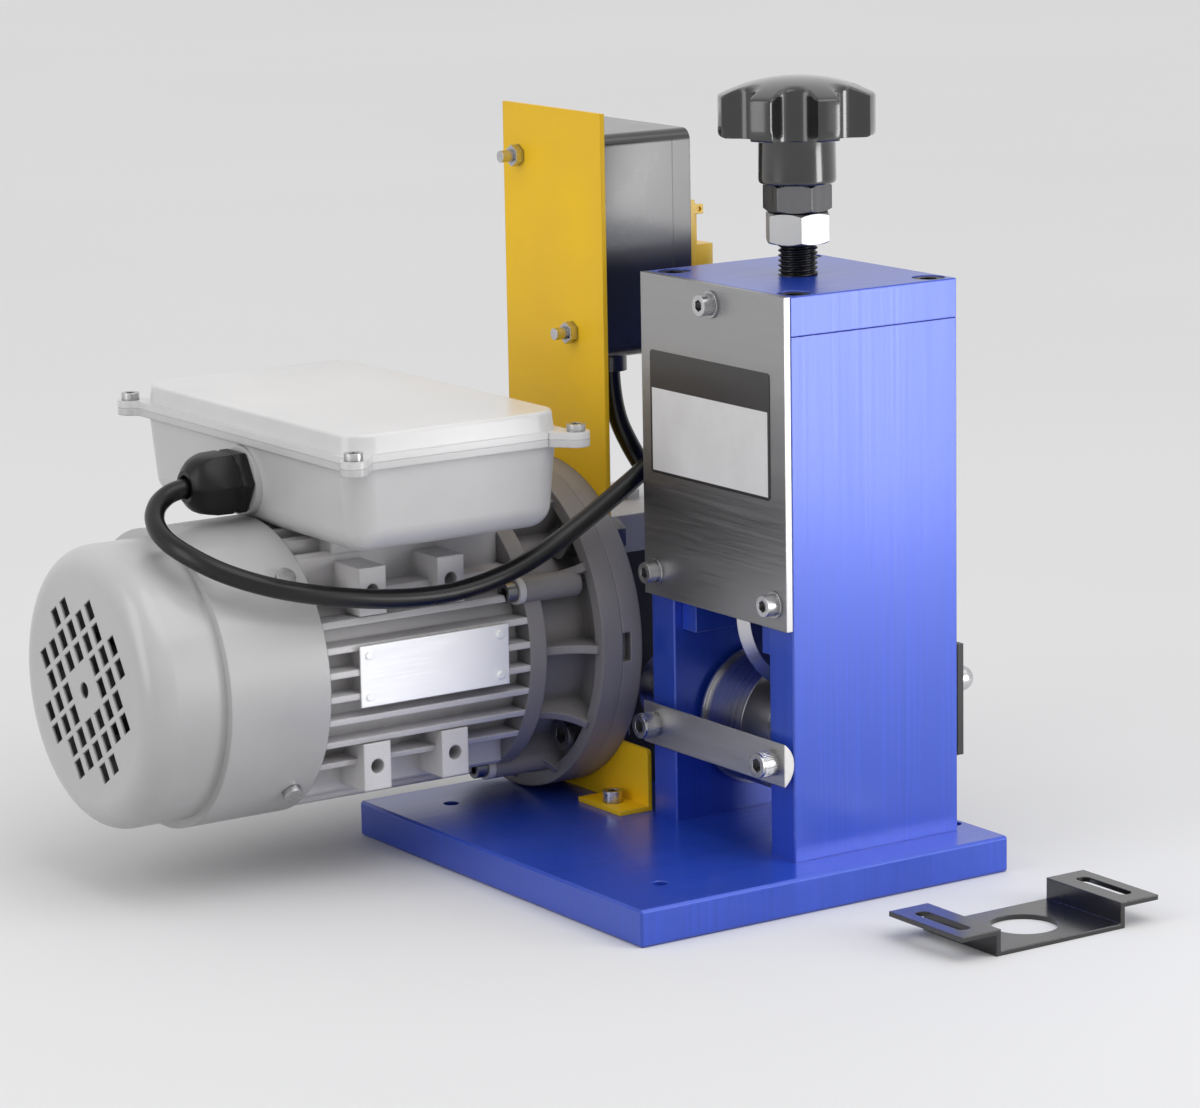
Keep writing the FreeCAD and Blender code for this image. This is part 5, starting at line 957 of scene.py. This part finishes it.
class STRIPPER_OT_stage(bpy.types.Operator):
    """Set the pale floor, the soft lamps and the sky"""

    bl_idname = "stripper.stage"
    bl_label = "Studio"
    floor_radius = 14
    floor_segments = 64
    seen_floor = 0.7
    key_spread = 50

    def execute(self, context):
        studio = context.scene.stripper_studio
        pale = tuple(studio.background)
        build = bmesh.new()
        bmesh.ops.create_circle(build, cap_ends=True, segments=self.floor_segments,
                                radius=self.floor_radius)
        mesh = bpy.data.meshes.new("studio_floor")
        build.to_mesh(mesh)
        build.free()
        floor = bpy.data.objects.new("studio_floor", mesh)
        context.scene.collection.objects.link(floor)
        finish = Finish("studio_floor_paper", pale, 0.85)
        cloud = finish.noise(1.4, 2, 0.5)
        paper = finish.blend(finish.span(cloud, 0.3, 0.7), shade(pale, 0.99), shade(pale, 1.01))
        finish.colour(finish.blend(seen_rays(finish.tree), shade(pale, self.seen_floor), paper))
        mesh.materials.append(finish.material)
        self.light_sky(context, pale, studio.sky_edge, studio.sky_level)
        key = bpy.data.lights.new("key_lamp", "SUN")
        key.energy = studio.key_strength
        key.angle = math.radians(self.key_spread)
        self.place_lamp(context, key, (0.5, -1.2, 2.4), (0, 0, 0))
        for name, power, spot, width, height in (
                ("left_panel", studio.left_power, (-1.33, 0.07, 0.78), 0.55, 1.45),
                ("right_panel", studio.right_power, (0.57, -1.19, 0.78), 0.7, 1.45),
                ("low_panel", studio.low_power, (0.42, -0.65, 0.18), 0.22, 0.34)):
            lamp = bpy.data.lights.new(name, "AREA")
            lamp.shape = "RECTANGLE"
            lamp.size = width
            lamp.size_y = height
            lamp.energy = power
            self.place_lamp(context, lamp, spot, (0, 0, spot[2]))
        context.scene.view_settings.view_transform = "Standard"
        return {"FINISHED"}

    def place_lamp(self, context, lamp, spot, target):
        thing = bpy.data.objects.new(lamp.name, lamp)
        context.scene.collection.objects.link(thing)
        thing.location = spot
        aim = Vector(target) - Vector(spot)
        thing.rotation_euler = aim.to_track_quat("-Z", "Y").to_euler()
        thing.visible_camera = False

    def light_sky(self, context, pale, edge, level):
        """A sky that brightens upwards for the light, and the pale background for what is seen
        or mirrored."""
        world = bpy.data.worlds.new("studio_sky")
        context.scene.world = world
        world.use_nodes = True
        tree = world.node_tree
        tree.nodes.clear()
        output = tree.nodes.new("ShaderNodeOutputWorld")
        light = tree.nodes.new("ShaderNodeBackground")
        light.inputs["Color"].default_value = (1, 1, 1, 1)
        where = tree.nodes.new("ShaderNodeTexCoord")
        parts = tree.nodes.new("ShaderNodeSeparateXYZ")
        tree.links.new(where.outputs["Generated"], parts.inputs[0])
        rise = tree.nodes.new("ShaderNodeMapRange")
        rise.inputs["To Min"].default_value = edge
        rise.inputs["To Max"].default_value = level
        tree.links.new(parts.outputs["Z"], rise.inputs["Value"])
        tree.links.new(rise.outputs["Result"], light.inputs["Strength"])
        seen = tree.nodes.new("ShaderNodeBackground")
        seen.inputs["Color"].default_value = (*pale, 1)
        seen.inputs["Strength"].default_value = 1.0
        mix = tree.nodes.new("ShaderNodeMixShader")
        tree.links.new(seen_rays(tree), mix.inputs[0])
        tree.links.new(light.outputs[0], mix.inputs[1])
        tree.links.new(seen.outputs[0], mix.inputs[2])
        tree.links.new(mix.outputs[0], output.inputs["Surface"])


class STRIPPER_PT_panel(bpy.types.Panel):
    """The dressing's sizes, colours and steps"""

    bl_idname = "STRIPPER_PT_panel"
    bl_label = "Wire Stripper"
    bl_space_type = "VIEW_3D"
    bl_region_type = "UI"
    bl_category = "Wire Stripper"

    def draw(self, context):
        column = self.layout.column()
        for group in (context.scene.stripper_sizes, context.scene.stripper_colours,
                      context.scene.stripper_studio):
            for name in group.__annotations__:
                column.prop(group, name)
        for step in STEPS:
            column.operator(step.bl_idname)


SETTINGS = (("stripper_sizes", StripperSizes), ("stripper_colours", StripperColours),
            ("stripper_studio", StripperStudio))
STEPS = (STRIPPER_OT_camera, STRIPPER_OT_cable, STRIPPER_OT_tower_finishes,
         STRIPPER_OT_drive_finishes, STRIPPER_OT_switch_finishes, STRIPPER_OT_knob,
         STRIPPER_OT_thread, STRIPPER_OT_gland, STRIPPER_OT_panel, STRIPPER_OT_knurls,
         STRIPPER_OT_stage)


def register():
    for name, group in SETTINGS:
        bpy.utils.register_class(group)
        setattr(bpy.types.Scene, name, bpy.props.PointerProperty(type=group))
    for step in STEPS:
        bpy.utils.register_class(step)
    bpy.utils.register_class(STRIPPER_PT_panel)


def unregister():
    bpy.utils.unregister_class(STRIPPER_PT_panel)
    for step in reversed(STEPS):
        bpy.utils.unregister_class(step)
    for name, group in reversed(SETTINGS):
        delattr(bpy.types.Scene, name)
        bpy.utils.unregister_class(group)


def main():
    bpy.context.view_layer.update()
    register()
    for step in STEPS:
        group, name = step.bl_idname.split(".")
        getattr(getattr(bpy.ops, group), name)()


if __name__ == "__main__":
    main()
